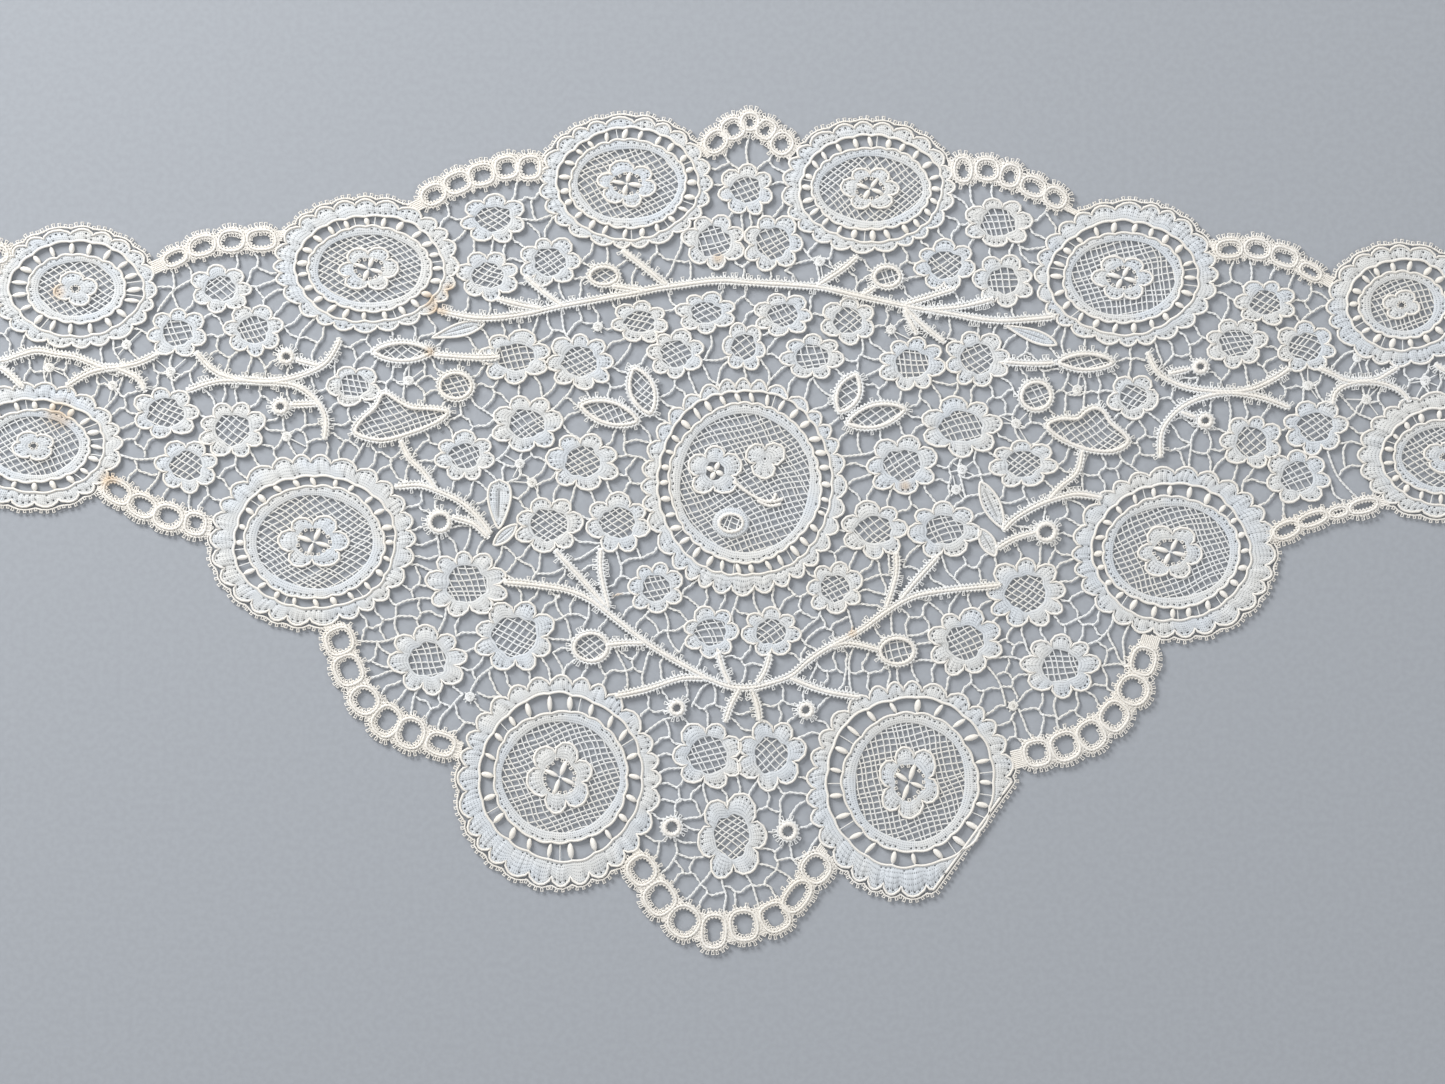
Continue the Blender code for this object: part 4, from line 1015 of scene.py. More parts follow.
def makeMedallion(name, seed, edgeLine):
    halfWidth, halfHeight, lobes, ringX, ringY, ringWide, ringHigh = medallions[name][2:9]
    openX, openY, wovenX, wovenY, count, netTurn, crossing = fillings[name][:7]
    node = "medallion_" + name
    weaving = Weaving(node + "_cloth", node)
    cords = Skein(node + "_cords", node, 1)
    threads = Skein(node + "_threads", node, 0, True)
    picots = Skein(node + "_picots", node)
    grains = bmesh.new()

    def wavered(angles, addX, addY, shift):
        reach = 1 + openRing["waver"] * ripple(angles, seed + shift, 4)
        return oval(ringX, ringY, (ringWide + addX) * reach, (ringHigh + addY) * reach, angles)

    # The open ring's inner (0) and outer (1) edge, which swells unevenly between its grains
    def ringEdge(angles, share):
        swell = openRing["bulge"] * (1 + openRing["unevenBulge"] * ripple(angles, seed + share, 5))
        between = np.abs(np.sin(count * angles / 2)) - openRing["bulgeMiddle"]
        add = openRing["wider"][share] + swell * between
        return wavered(angles, share * openX + add, share * openY + add, 2 - share)

    angles = pinAngles(halfWidth, halfHeight)
    outline = scallopedEdge(name, angles, scallop["inset"], seed)
    weaving.strip(loopsBetween(ringEdge(angles, 1), outline, bandRows), bandPins)
    angles = pinAngles(ringWide, ringHigh)
    inner = wavered(angles, -wovenX, -wovenY, 3)
    weaving.strip(loopsBetween(inner, ringEdge(angles, 0), wovenRingRows), wovenRingPins)
    bent = lobeAngles(lobes, 0.0, scallop["perLobe"])
    finer = unbendAngles(bent, seed, scallop["bend"], scallop["waves"])
    cords.lay(atHeight(scallopedEdge(name, finer, scallop["cordInset"], seed), scallop["cordHeight"]),
              scallop["outline"], True)
    for share in (0, 1):
        cords.lay(atHeight(ringEdge(evenAngles(openRing["perGrain"] * count), share), openRing["cordHeight"]),
                  openRing["cord"], True)
    crossRing(grains, threads, ringEdge, count, seed)

    if name == "centre":
        shapes = fillCentre(weaving, cords, threads, grains, seed)
    else:
        shapes = fillWithFlower(weaving, cords, threads, picots, grains, name, seed)

    def inNet(gx, gy):
        inside = withinOval(ringX, ringY, ringWide - wovenX + 1, ringHigh - wovenY + 1)(gx, gy)
        for shapeX, shapeY, wide, high in shapes:
            inside &= np.hypot((gx - shapeX) / wide, (gy - shapeY) / high) > 1.0
        return inside

    netThreads(threads, inNet, (ringX - ringWide, ringY - ringHigh), (ringX + ringWide, ringY + ringHigh),
               netTurn, seed, net["pitch"], crossing)
    edgeMedallion(picots, name, seed, finer, edgeLine)

    piece, area = weaving.piece()
    extras = [skein.piece() for skein in (cords, threads, picots) if skein.threads]
    extras.append(grainPiece(grains, node + "_tallies", node))


covered = {"ridge": 0.26, "spacing": 1.9, "swell": 0.14, "swellLength": 5.0, "end": 0.55}


# Points a stitch apart, an even number of them where the route closes up
def stitchRoute(route, closed, spacing=covered["spacing"]):
    line = stepRoute(route, spacing, closed)
    if closed and len(line) % 2:
        line = stepRoute(route, routeLength(np.vstack([line, line[:1]])) / (len(line) + 1), closed)
    return line, np.where(np.arange(len(line)) % 2, 1.0, -1.0)


# Cord covered with close stitches, which ridge it
def coveredCord(skein, route, radius, height, closed=False):
    line, turns = stitchRoute(route, closed)
    ridges = 1 + covered["ridge"] * turns
    ridges = ridges + covered["swell"] * drift(line[:, 0], line[:, 1], radius, covered["swellLength"])
    if not closed:
        ridges[0] = ridges[-1] = covered["end"]
    skein.lay(atHeight(line, height), radius * ridges, closed)


beaded = {"wave": 0.75, "ridge": 0.25}


# Close loops worked into an edge, which stand as beads to its left
def beadedCord(skein, route, radius, height, closed=False, side=1.0):
    line, turns = stitchRoute(route, closed)
    line = line + sideways(line, closed) * (side * beaded["wave"] * turns)[:, None]
    skein.lay(atHeight(line, height), radius * (1 + beaded["ridge"] * turns), closed)
    return line


edge = {"inner": 1.5, "middle": 3.9, "outer": 6.3, "cord": 0.00028, "cordHeight": 0.00073, "braid": 0.00023,
        "braidHeight": 0.00062, "stitch": 0.00016, "stitchHeight": 0.00060, "stitchStep": 2.3, "square": 2.5,
        "waver": 0.04, "points": 48, "clear": 1.4, "pleat": 0.0002, "pleatStep": 1.9, "pleatStart": 0.3,
        "pleatEnd": 0.78, "pleatRoot": 1.0, "pleatLeast": 1.6, "pleatLoop": 4.6, "tieShare": 0.62,
        "tieReach": 15}
# Picots round the outside of a ring, and inside its hole, unless that is too small for them
picotRows = [{"away": edge["outer"] + 1.0, "out": 1.0, "reach": 4.2},
             {"away": edge["inner"] - 0.8, "out": -1.0, "reach": 3.0}]
ringPicot = {"spacing": 5.0, "shift": 1.6, "uneven": (0.75, 0.5), "leastHole": 4.0}


# The rings of a run: middle, the ways along and across the run, and the half sizes of the hole
def ringRows(name):
    middles = np.array(allRuns()[name][1], float)
    across = sideways(middles)
    along = np.column_stack([across[:, 1], -across[:, 0]])
    return list(zip(middles, along, across, np.array(holeSizes[mirroredRuns.get(name, name)])))


# A line about a ring, at a given way out from its hole
def ringLine(ring, away, turns):
    middle, along, across, half = ring
    sides = np.column_stack([np.cos(turns), np.sin(turns)])
    sides = np.sign(sides) * np.abs(sides) ** (2 / edge["square"]) * (half + away)
    sides = sides * (1 + edge["waver"] * ripple(turns, middle[0], 2))[:, None]
    return middle + sides[:, :1] * along + sides[:, 1:] * across


# How far out a place lies, where 1 is the line at a given way out from the ring's hole
def ringShare(ring, away, x, y):
    middle, along, across, half = ring
    total = 0.0
    for way, reach in ((along, half[0] + away), (across, half[1] + away)):
        gone = (x - middle[0]) * way[0] + (y - middle[1]) * way[1]
        total = total + np.abs(gone / reach) ** edge["square"]
    return total ** (1 / edge["square"])


def layRingPicots(skein, ring, others, kind, turns, edgeLine):
    spots = stepRoute(ringLine(ring, kind["away"], turns), ringPicot["spacing"], True)
    ways = sideways(spots, True)
    ways = ways * np.sign(((spots - ring[0]) * ways).sum())
    beyond = edge["outer"] + edge["clear"]
    isInner = kind["out"] < 0
    least, more = ringPicot["uneven"]
    for k, (spot, way) in enumerate(zip(spots, ways)):
        spot = spot + ringPicot["shift"] * (chance(*spot) - 0.5) * np.array([way[1], -way[0]])
        isOuter = not insidePolygon(*(spot + 2 * way), edgeLine)
        isClear = isInner or min(ringShare(other, beyond, *spot) for other in others) > 1
        if isClear and (isOuter or (not isInner and k % 2)):
            layPicot(skein, *spot, *(kind["out"] * way), edge["braidHeight"],
                     kind["reach"] * (least + more * chance(*spot, 5)))


# Joined rings of braid, each with a raised cord about its hole and picots inside and out
def makeEdging(name, edgeLine):
    node = "edging_" + name
    cords = Skein(node + "_cords", node, 1)
    braids = Skein(node + "_braids", node)
    rings = ringRows(name)
    turns = evenAngles(edge["points"])
    for ring in rings:
        others = [other for other in rings if other is not ring]
        middle = ringLine(ring, edge["middle"], turns)
        coveredCord(cords, middle, edge["cord"], edge["cordHeight"], True)
        for away, side in ((edge["inner"], 1.0), (edge["outer"], -1.0)):
            beadedCord(braids, ringLine(ring, away, turns), edge["braid"], edge["braidHeight"], True, side)
        line, signs = stitchRoute(middle, True, edge["stitchStep"])
        wall = (edge["outer"] - edge["inner"]) / 2
        line = line + sideways(line, True) * (wall * signs)[:, None]
        braids.lay(atHeight(line, edge["stitchHeight"]), edge["stitch"], True)
        for kind in picotRows:
            if kind["out"] > 0 or ring[3].min() >= ringPicot["leastHole"]:
                layRingPicots(braids, ring, others, kind, turns, edgeLine)
    layPleats(braids, rings, edgeLine)
    tieEnds(braids, rings)
    cords.piece()
    braids.piece()


# The way out along a run to a ring's outer line, so far to the side of its middle
def reachBeside(reach, away):
    return reach[0] * (1 - (away / reach[1]) ** edge["square"]) ** (1 / edge["square"])


# Close threads that fill the corners between the rings, with a loop at each inner tip
def layPleats(skein, rings, edgeLine):
    for one, other in zip(rings, rings[1:]):
        run = (other[0] - one[0]) / np.hypot(*(other[0] - one[0]))
        reaches = [ring[3] + edge["outer"] for ring in (one, other)]
        least = min(reach[1] for reach in reaches)
        for side in (np.array([-run[1], run[0]]), np.array([run[1], -run[0]])):
            for away in np.arange(least * edge["pleatStart"], least * edge["pleatEnd"], edge["pleatStep"]):
                gone = [reachBeside(reach, away) - edge["pleatRoot"] for reach in reaches]
                start = one[0] + run * gone[0] + side * away
                stop = other[0] - run * gone[1] + side * away
                if (stop - start) @ run > edge["pleatLeast"]:
                    skein.lay(atHeight([start, stop], edge["stitchHeight"]), edge["pleat"])
            tip = (one[0] + other[0]) / 2 + side * least * edge["pleatEnd"]
            if insidePolygon(*(tip + side), edgeLine):
                layPicot(skein, *tip, *side, edge["braidHeight"], edge["pleatLoop"])


def inMedallion(x, y):
    return any(math.hypot((x - row[0]) / row[2], (y - row[1]) / row[3]) < 1 for row in medallions.values())


# Close threads from the last ring at either end of a run to the medallion beside it
def tieEnds(skein, rings):
    for last, before in ((rings[0], rings[1]), (rings[-1], rings[-2])):
        out = (last[0] - before[0]) / np.hypot(*(last[0] - before[0]))
        reach = last[3] + edge["outer"]
        widest = reach[1] * edge["tieShare"]
        for away in np.arange(-widest, widest, edge["pleatStep"]):
            gone = reachBeside(reach, abs(away))
            start = last[0] + out * gone + np.array([-out[1], out[0]]) * away
            if inMedallion(*start):
                continue
            for gap in range(1, edge["tieReach"]):
                if inMedallion(*(start + out * gap)):
                    ends = [start - out, start + out * (gap + 1)]
                    skein.lay(atHeight(ends, edge["stitchHeight"]), edge["pleat"])
                    break


edgeLine = groundOutline()
for seed, name in enumerate(medallions):
    makeMedallion(name, seed + 1, edgeLine)
print("medallions worked")
for name in allRuns():
    makeEdging(name, edgeLine)
print("edging worked")


stem = {"radius": 0.00036, "height": 0.00074}
leafWork = {"inset": 4.2, "cord": 0.00037, "height": 0.00072, "netPitch": 6.3, "fullness": 0.75, "least": 0.4,
            "netTurn": 30, "netStart": 40, "perSpan": 3, "budPoints": 24}
clothLeaf = {"inset": 0.9, "points": 13, "step": 2.2, "spineEnds": (0.25, 0.75), "slit": 0.01}
ringBudWork = {"cord": 0.00046, "cordHalf": 2.4, "wall": 7.0, "loose": 0.55}
leafRows = [(0.0, None, None, 0.00060), (None, 3.6, None, 0.00060), (None, 2.3, None, 0.00059),
            (None, 0.2, None, 0.00054)]
leafPins = {1: 0.75}
fringe = {"away": 2.8, "waver": 0.4, "thread": 0.00029, "below": 0.00001, "loose": 0.24, "looseReach": 4.2,
          "uneven": (0.7, 0.6), "endLength": 2, "endShare": 0.25}
# How large the sprigs' openings are against their shares, the net in them, and the share of the flat size
# that the woven work fills
sprig = {"opening": (0.92, 0.16), "netReach": 1.08, "netTurn": 50, "netPitch": 6.1, "flatShare": 0.98}


def leafOutline(x0, y0, x1, y1, halfWidth, inset, widest=0.5, count=11):
    spine = np.linspace((x0, y0), (x1, y1), count)
    run = np.array([x1 - x0, y1 - y0], float)
    run = run / np.hypot(*run)
    side = np.array([-run[1], run[0]])
    share = np.linspace(0, 1, count)
    swell = np.sin(math.pi * share ** (math.log(0.5) / math.log(widest))) ** leafWork["fullness"]
    wide = np.maximum((halfWidth - inset) * swell, leafWork["least"])
    spine = spine + run * (inset * (1 - 2 * share))[:, None]
    left = spine + side * wide[:, None]
    right = (spine - side * wide[:, None])[::-1]
    return np.vstack([left, right[1:-1]])


# Close loops of thread along both sides of a raised cord, or its outer side only, and some that stand free
def fringeRoute(skein, route, height, closed=False, loose=fringe["loose"]):
    line, turns = stitchRoute(route, closed)
    left = sideways(line, closed)
    places = np.arange(len(line))
    taper = np.clip(np.minimum(places, places[::-1]) / fringe["endLength"], fringe["endShare"], 1.0)
    sides = (1.0, -1.0)
    if closed:
        taper = 1.0
        sides = (1.0 if ((line - line.mean(axis=0)) * left).sum() > 0 else -1.0,)
    least, more = fringe["uneven"]
    for side in sides:
        away = (fringe["away"] + fringe["waver"] * drift(line[:, 0], line[:, 1], side)) * taper
        beads = beadedCord(skein, line + left * (side * away)[:, None], fringe["thread"],
                           height - fringe["below"], closed, side)
        ways = sideways(beads, closed) * side
        for k in range(1, len(beads) - 1, 2):
            if chance(*beads[k]) < loose:
                layPicot(skein, *(beads[k] + ways[k]), *ways[k], height - fringe["below"],
                         fringe["looseReach"] * (least + more * chance(k, side)))


# A leaf of woven cloth, with pinholes along its cord
def makeClothLeaf(weaving, cords, x0, y0, x1, y1, halfWidth, widest):
    outline = leafOutline(x0, y0, x1, y1, halfWidth, clothLeaf["inset"], widest, clothLeaf["points"])
    outline = stepRoute(outline, clothLeaf["step"], True)
    run = np.array([x1 - x0, y1 - y0], float)
    along = np.clip((outline - (x0, y0)) @ run / (run @ run), *clothLeaf["spineEnds"])
    spine = np.array([x0, y0]) + run * along[:, None]
    inner = spine + clothLeaf["slit"] * (outline - spine)
    weaving.strip(loopsBetween(inner, outline, leafRows), leafPins)
    cords.lay(atHeight(outline, petal["cordHeight"]), petal["outline"], True)


# The woven flowers and leaves of the sprigs, with the flat width that would hold them laid side by side
# worked out from their area
def makeFlowerCloth():
    weaving = Weaving("flower_cloth", "ground")
    cords = Skein("flower_cords", "ground", 1)
    nets = Skein("flower_nets", "ground", 0, True)
    least, more = sprig["opening"]
    for index, row in enumerate(allFlowers()):
        x, y, halfWidth, halfHeight = row[:4]
        turn = math.radians(petal["turnStep"] * index)
        opening = [half * share * (least + more * chance(index, half))
                   for half, share in zip((halfWidth, halfHeight), openingShare)]
        makeFlower(weaving, cords, dressedFlower(*row), turn, index, x, y, opening)
        netOval(nets, x, y, opening[0] * sprig["netReach"], opening[1] * sprig["netReach"],
                sprig["netTurn"] * chance(index, 4) - sprig["netTurn"], index, sprig["netPitch"])
    for row in clothLeaves.values():
        makeClothLeaf(weaving, cords, *row)
    piece, area = weaving.piece()
    extras = [cords.piece(), nets.piece()]
    width = math.sqrt(area / sprig["flatShare"] * 2)


# The outlines of the leaves and buds that hold net
def nettedOutlines():
    inset = leafWork["inset"]
    spindles = enumerate(leaves[:-crossedLeaves])
    outlines = [leafOutline(*row, inset) for index, row in spindles if index not in clothLeaves]
    outlines += [smoothLoop(points, leafWork["perSpan"]) for points in corneredLeaves]
    outlines += [oval(x, y, halfWidth - inset, halfHeight - inset, evenAngles(leafWork["budPoints"]))
                 for x, y, halfWidth, halfHeight in netBuds]
    return outlines


def makeNettedLeaf(cords, picots, nets, outline, seed):
    def within(gx, gy):
        return insidePolygon(gx, gy, outline)

    coveredCord(cords, outline, leafWork["cord"], leafWork["height"], True)
    fringeRoute(picots, outline, leafWork["height"], True)
    corners = np.array(outline)
    netThreads(nets, within, corners.min(axis=0), corners.max(axis=0),
               leafWork["netTurn"] * chance(seed) - leafWork["netStart"], seed, leafWork["netPitch"])


def makeLeaves(picots):
    cords = Skein("leaf_cords", "ground", 1)
    nets = Skein("leaf_nets", "ground", 0, True)
    for seed, outline in enumerate(nettedOutlines()):
        makeNettedLeaf(cords, picots, nets, outline, seed)
    for (x, y, halfWidth, halfHeight), hole in zip(ringBuds, ringHoles):
        reach = hole + ringBudWork["cordHalf"]
        ring = oval(x, y, reach, reach * halfHeight / halfWidth, evenAngles(leafWork["budPoints"]))
        coveredCord(cords, ring, ringBudWork["cord"], leafWork["height"], True)
        fringeRoute(picots, ring, leafWork["height"], True, ringBudWork["loose"])
    cords.piece()
    nets.piece()


def makeStems(picots):
    cords = Skein("stem_cords", "ground", 1)
    for points in stems:
        route = smoothRoute(points)
        coveredCord(cords, route, stem["radius"], stem["height"])
        fringeRoute(picots, route, stem["height"])
    cords.piece()


makeFlowerCloth()
sprigPicots = Skein("sprig_picots", "ground", 0, True)
makeLeaves(sprigPicots)
makeStems(sprigPicots)
sprigPicots.piece()
print("sprigs worked")

bars = {"cell": 960.0, "smallCell": 300.0, "endReach": 5.0, "ply": 0.00015, "swing": 0.70, "lift": 0.00007,
        "height": 0.00045, "step": 2.5, "leastSteps": 3, "half": 1.84, "snake": 1.5, "snakeShare": 0.09,
        "curl": 0.6, "phase": 6.28, "endSwing": 0.2, "knot": 0.00036}
# The motifs as the part has them
motif = {"scallopDepth": 0.05, "petalDepth": 0.17, "notch": 0.8, "stemHalf": 4.4737, "ringWall": 7.8947}
leafStroke = {"points": 7, "least": 0.12, "swell": 0.88, "start": 0.35, "ease": 0.3, "power": 0.8,
              "inset": 0.12}
# How the free space is shared out: how often the cells are evened, and the shortest border and gap in it,
# in steps of the chart
cells = {"least": 2, "evenings": 7, "block": 4000, "border": 2, "gap": 3, "sweeps": 6}
# How near a motif a crossing is drawn in to it, and by what strides, each the best of so many ways
drawing = {"reach": 6.0, "stride": 1.6, "strides": 6, "ways": 8}
# How far into a motif a bar runs, its bow, the way it may run on to reach one, and whether it stays if it
# can't; a small bar is added at a corner sharper than blunt, in the open, from the first place outwards
mainBar = {"inMotif": -1.0, "bow": 0.09, "longestRun": 26, "stays": True}
smallBar = {"inMotif": -0.3, "bow": 0.11, "longestRun": 14, "stays": False, "blunt": -0.7, "open": 1.0,
            "first": 4, "seedShift": 0.5}
# Bars drawn on the chart itself, where motifs lie too close for a cell of their own
chartedBars = [(745, 208, 744, 240), (735, 212, 726, 222), (760, 208, 768, 222)]

gridXs = np.arange(chart["left"], chart["right"] + 1, chart["step"], dtype=float)
gridYs = np.arange(chart["top"], chart["bottom"] + 1, chart["step"], dtype=float)


def emptyField():
    return np.full((len(gridYs), len(gridXs)), chart["empty"])


def stamp(field, low, high, measure):
    i0 = max(int((low[0] - chart["margin"] - chart["left"]) / chart["step"]), 0)
    i1 = int((high[0] + chart["margin"] - chart["left"]) / chart["step"]) + 2
    j0 = max(int((low[1] - chart["margin"] - chart["top"]) / chart["step"]), 0)
    j1 = int((high[1] + chart["margin"] - chart["top"]) / chart["step"]) + 2
    x, y = np.meshgrid(gridXs[i0:i1], gridYs[j0:j1])
    window = field[j0:j1, i0:i1]
    np.minimum(window, measure(x, y), out=window)


def stampLobed(field, x, y, halfWidth, halfHeight, lobes, turn, depth, notch=motif["notch"], bend=(0, 0, 1)):
    def measure(gx, gy):
        dx = (gx - x) / halfWidth
        dy = (gy - y) / halfHeight
        reach = lobeReach(bendAngles(np.arctan2(dy, dx), *bend), lobes, turn, depth, notch)
        return (np.hypot(dx, dy) - reach) * min(halfWidth, halfHeight)
    stamp(field, (x - halfWidth, y - halfHeight), (x + halfWidth, y + halfHeight), measure)


def stampOval(field, x, y, halfWidth, halfHeight):
    stampLobed(field, x, y, halfWidth, halfHeight, 2, 0.0, 0.0)


def stampStroke(field, route, halfWidths):
    for (x0, y0), (x1, y1), w0, w1 in zip(route, route[1:], halfWidths, halfWidths[1:]):
        wide = max(w0, w1)

        def measure(gx, gy):
            span = max((x1 - x0) ** 2 + (y1 - y0) ** 2, 1e-9)
            t = np.clip(((gx - x0) * (x1 - x0) + (gy - y0) * (y1 - y0)) / span, 0.0, 1.0)
            away = np.hypot(gx - x0 - t * (x1 - x0), gy - y0 - t * (y1 - y0))
            return away - (w0 + t * (w1 - w0))
        low = (min(x0, x1) - wide, min(y0, y1) - wide)
        high = (max(x0, x1) + wide, max(y0, y1) + wide)
        stamp(field, low, high, measure)


def stampRing(field, ring):
    least, most = ring[3].min() + edge["outer"], ring[3].max() + edge["outer"]
    stamp(field, ring[0] - most, ring[0] + most,
          lambda gx, gy: (ringShare(ring, edge["outer"], gx, gy) - 1) * least)


def stampLine(field, route, halfWidth):
    stampStroke(field, route, [halfWidth] * len(route))


def leafRoute(x0, y0, x1, y1, halfWidth):
    form = leafStroke
    count = form["points"]
    spine = [(x0 + (x1 - x0) * i / (count - 1), y0 + (y1 - y0) * i / (count - 1)) for i in range(count)]
    middle = ((x0 + x1) / 2, (y0 + y1) / 2)
    spine = [(x + (middle[0] - x) * form["inset"], y + (middle[1] - y) * form["inset"]) for x, y in spine]
    turns = [math.pi * (i + form["start"]) / (count - form["ease"]) for i in range(count)]
    swell = [form["least"] + form["swell"] * math.sin(turn) ** form["power"] for turn in turns]
    return spine, [halfWidth * value for value in swell]


def stampMedallion(field, name, seed, isDressed):
    disc = emptyField()
    shape = (motif["scallopDepth"],)
    if isDressed:
        shape = (scallop["depth"], scallop["notch"], (seed, scallop["bend"], scallop["waves"]))
    stampLobed(disc, *medallions[name][:5], 0.0, *shape)
    for owner, sideX, sideY, wayOut in straightSides:
        if owner == name:
            out = math.radians(wayOut)
            beyond = (gridXs[None, :] - sideX) * math.cos(out) + (gridYs[:, None] - sideY) * math.sin(out)
            disc = np.maximum(disc, beyond)
    np.minimum(field, disc, out=field)


# Everything that the bars run between, as the part has it or with its finer dressed edges
def motifField(isDressed=False):
    field = emptyField()
    for index, row in enumerate(allFlowers()):
        turn = math.radians(petal["turnStep"] * index)
        shape = (motif["petalDepth"],)
        if isDressed:
            shape = (petal["depth"], petal["notch"], (index, petal["bend"], 1))
            row = dressedFlower(*row)
        stampLobed(field, *row, turn, *shape)
    for row in netBuds + ringBuds[-spiderBuds:]:
        stampOval(field, *row)
    for (x, y, halfWidth, halfHeight), hole in zip(ringBuds, ringHoles):
        if isDressed:
            halfWidth = halfHeight = hole + ringBudWork["wall"]
        stampOval(field, x, y, halfWidth, halfHeight)
    for index, row in enumerate(leaves):
        if isDressed and index in clothLeaves:
            row = clothLeaves[index][:5]
        stampStroke(field, *leafRoute(*row))
    for points in stems:
        stampLine(field, smoothRoute(points), motif["stemHalf"])
    for seed, name in enumerate(medallions):
        stampMedallion(field, name, seed + 1, isDressed)
    for name, (holeHalf, points) in allRuns().items():
        if not isDressed:
            stampLine(field, points, holeHalf + motif["ringWall"])
            continue
        for ring in ringRows(name):
            stampRing(field, ring)
    return field


# Number each stretch of free places that touch one another
def labelRegions(mask):
    labels = np.zeros(mask.shape, int)
    height, width = mask.shape
    count = 0
    for start in zip(*np.nonzero(mask)):
        if labels[start]:
            continue
        count += 1
        labels[start] = count
        stack = [start]
        while stack:
            j, i = stack.pop()
            for nj, ni in ((j + 1, i), (j - 1, i), (j, i + 1), (j, i - 1)):
                if 0 <= nj < height and 0 <= ni < width and mask[nj, ni] and not labels[nj, ni]:
                    labels[nj, ni] = count
                    stack.append((nj, ni))
    return labels, count


def nearestSeed(places, seeds):
    owner = np.zeros(len(places), int)
    for start in range(0, len(places), cells["block"]):
        block = places[start:start + cells["block"]]
        away = (block[:, None, 0] - seeds[None, :, 0]) ** 2 + (block[:, None, 1] - seeds[None, :, 1]) ** 2
        owner[start:start + cells["block"]] = away.argmin(axis=1)
    return owner


# Even seeds over a pocket of free places: farthest first, then evened out
def spreadSeeds(places, count):
    away = np.hypot(*(places - places.mean(axis=0)).T)
    seeds = [places[int(np.argmax(away))]]
    away = np.hypot(*(places - seeds[0]).T)
    while len(seeds) < count:
        seeds.append(places[int(np.argmax(away))])
        away = np.minimum(away, np.hypot(*(places - seeds[-1]).T))
    seeds = np.array(seeds)
    for evening in range(cells["evenings"]):
        owner = nearestSeed(places, seeds)
        for k in range(count):
            if (owner == k).any():
                seeds[k] = places[owner == k].mean(axis=0)
    return seeds, nearestSeed(places, seeds)


def fieldAt(field, x, y):
    i = int(round((x - chart["left"]) / chart["step"]))
    j = int(round((y - chart["top"]) / chart["step"]))
    return field[min(max(j, 0), field.shape[0] - 1), min(max(i, 0), field.shape[1] - 1)]


# Share the places with each label into cells of about the given size
def shareCells(labels, count, cellSize):
    owners = np.full(labels.shape, -1)
    seeds = []
    for label in range(1, count + 1):
        down, across = np.nonzero(labels == label)
        share = int(round(len(down) * chart["step"] ** 2 / cellSize))
        if share < cells["least"]:
            continue
        places = np.stack([gridXs[across], gridYs[down]], axis=1)
        found, owner = spreadSeeds(places, share)
        owners[down, across] = owner + len(seeds)
        seeds.extend(found)
    return owners, seeds


# Straight bars along the lines where two cells meet
def cellBars(owners, seeds, labels):
    borders = {}
    half = chart["step"] / 2
    for dj, di in ((0, 1), (1, 0)):
        a = owners[:owners.shape[0] - dj, :owners.shape[1] - di]
        b = owners[dj:, di:]
        sameLabel = labels[:owners.shape[0] - dj, :owners.shape[1] - di] == labels[dj:, di:]
        for j, i in zip(*np.nonzero((a >= 0) & (b >= 0) & (a != b) & sameLabel)):
            pair = (min(a[j, i], b[j, i]), max(a[j, i], b[j, i]))
            borders.setdefault(pair, []).append((gridXs[i] + di * half, gridYs[j] + dj * half))
    found = []
    for (one, other), points in sorted(borders.items()):
        across = np.array(seeds[other]) - seeds[one]
        along = np.array([-across[1], across[0]]) / max(np.hypot(*across), 1e-9)
        middle = (np.array(seeds[one]) + seeds[other]) / 2
        reach = np.sort((np.array(points) - middle) @ along)
        breaks = np.nonzero(np.diff(reach) > cells["gap"] * chart["step"])[0] + 1
        for stretch in np.split(reach, breaks):
            if stretch[-1] - stretch[0] >= cells["border"] * chart["step"]:
                found.append([middle + along * stretch[0], middle + along * stretch[-1]])
    return found


# An end that lies close to a motif is drawn in to it
def drawIn(field, point, inMotif):
    if fieldAt(field, *point) < drawing["reach"]:
        for step in range(drawing["strides"]):
            if fieldAt(field, *point) < inMotif:
                break
            around = oval(*point, drawing["stride"], drawing["stride"], evenAngles(drawing["ways"]))
            point = min(around, key=lambda place: fieldAt(field, *place))
    return point


# Ends that lie close together share one crossing, at their middle
def shareCrossings(ends):
    crossing = np.full(len(ends), -1)
    for k, end in enumerate(ends):
        if crossing[k] < 0:
            near = (np.hypot(*(ends - end).T) < bars["endReach"]) & (crossing < 0)
            crossing[near] = crossing.max() + 1
    return crossing, [ends[crossing == number].mean(axis=0) for number in range(crossing.max() + 1)]


# The two ends of a bar, each at a crossing or run on into what it reaches, and whether one hangs loose
def runOn(pair, middles, counts, field, kind):
    points = [middles[number] for number in pair]
    run = (points[1] - points[0]) / max(np.hypot(*(points[1] - points[0])), 1e-9)
    isLoose = False
    for side, way in ((0, -run), (1, run)):
        if counts[pair[side]] > 1:
            continue
        place = points[side]
        for step in range(kind["longestRun"]):
            if fieldAt(field, *place) < kind["inMotif"]:
                break
            place = place + way
        if fieldAt(field, *place) < kind["inMotif"]:
            points[side] = place
        else:
            isLoose = True
    return points, isLoose


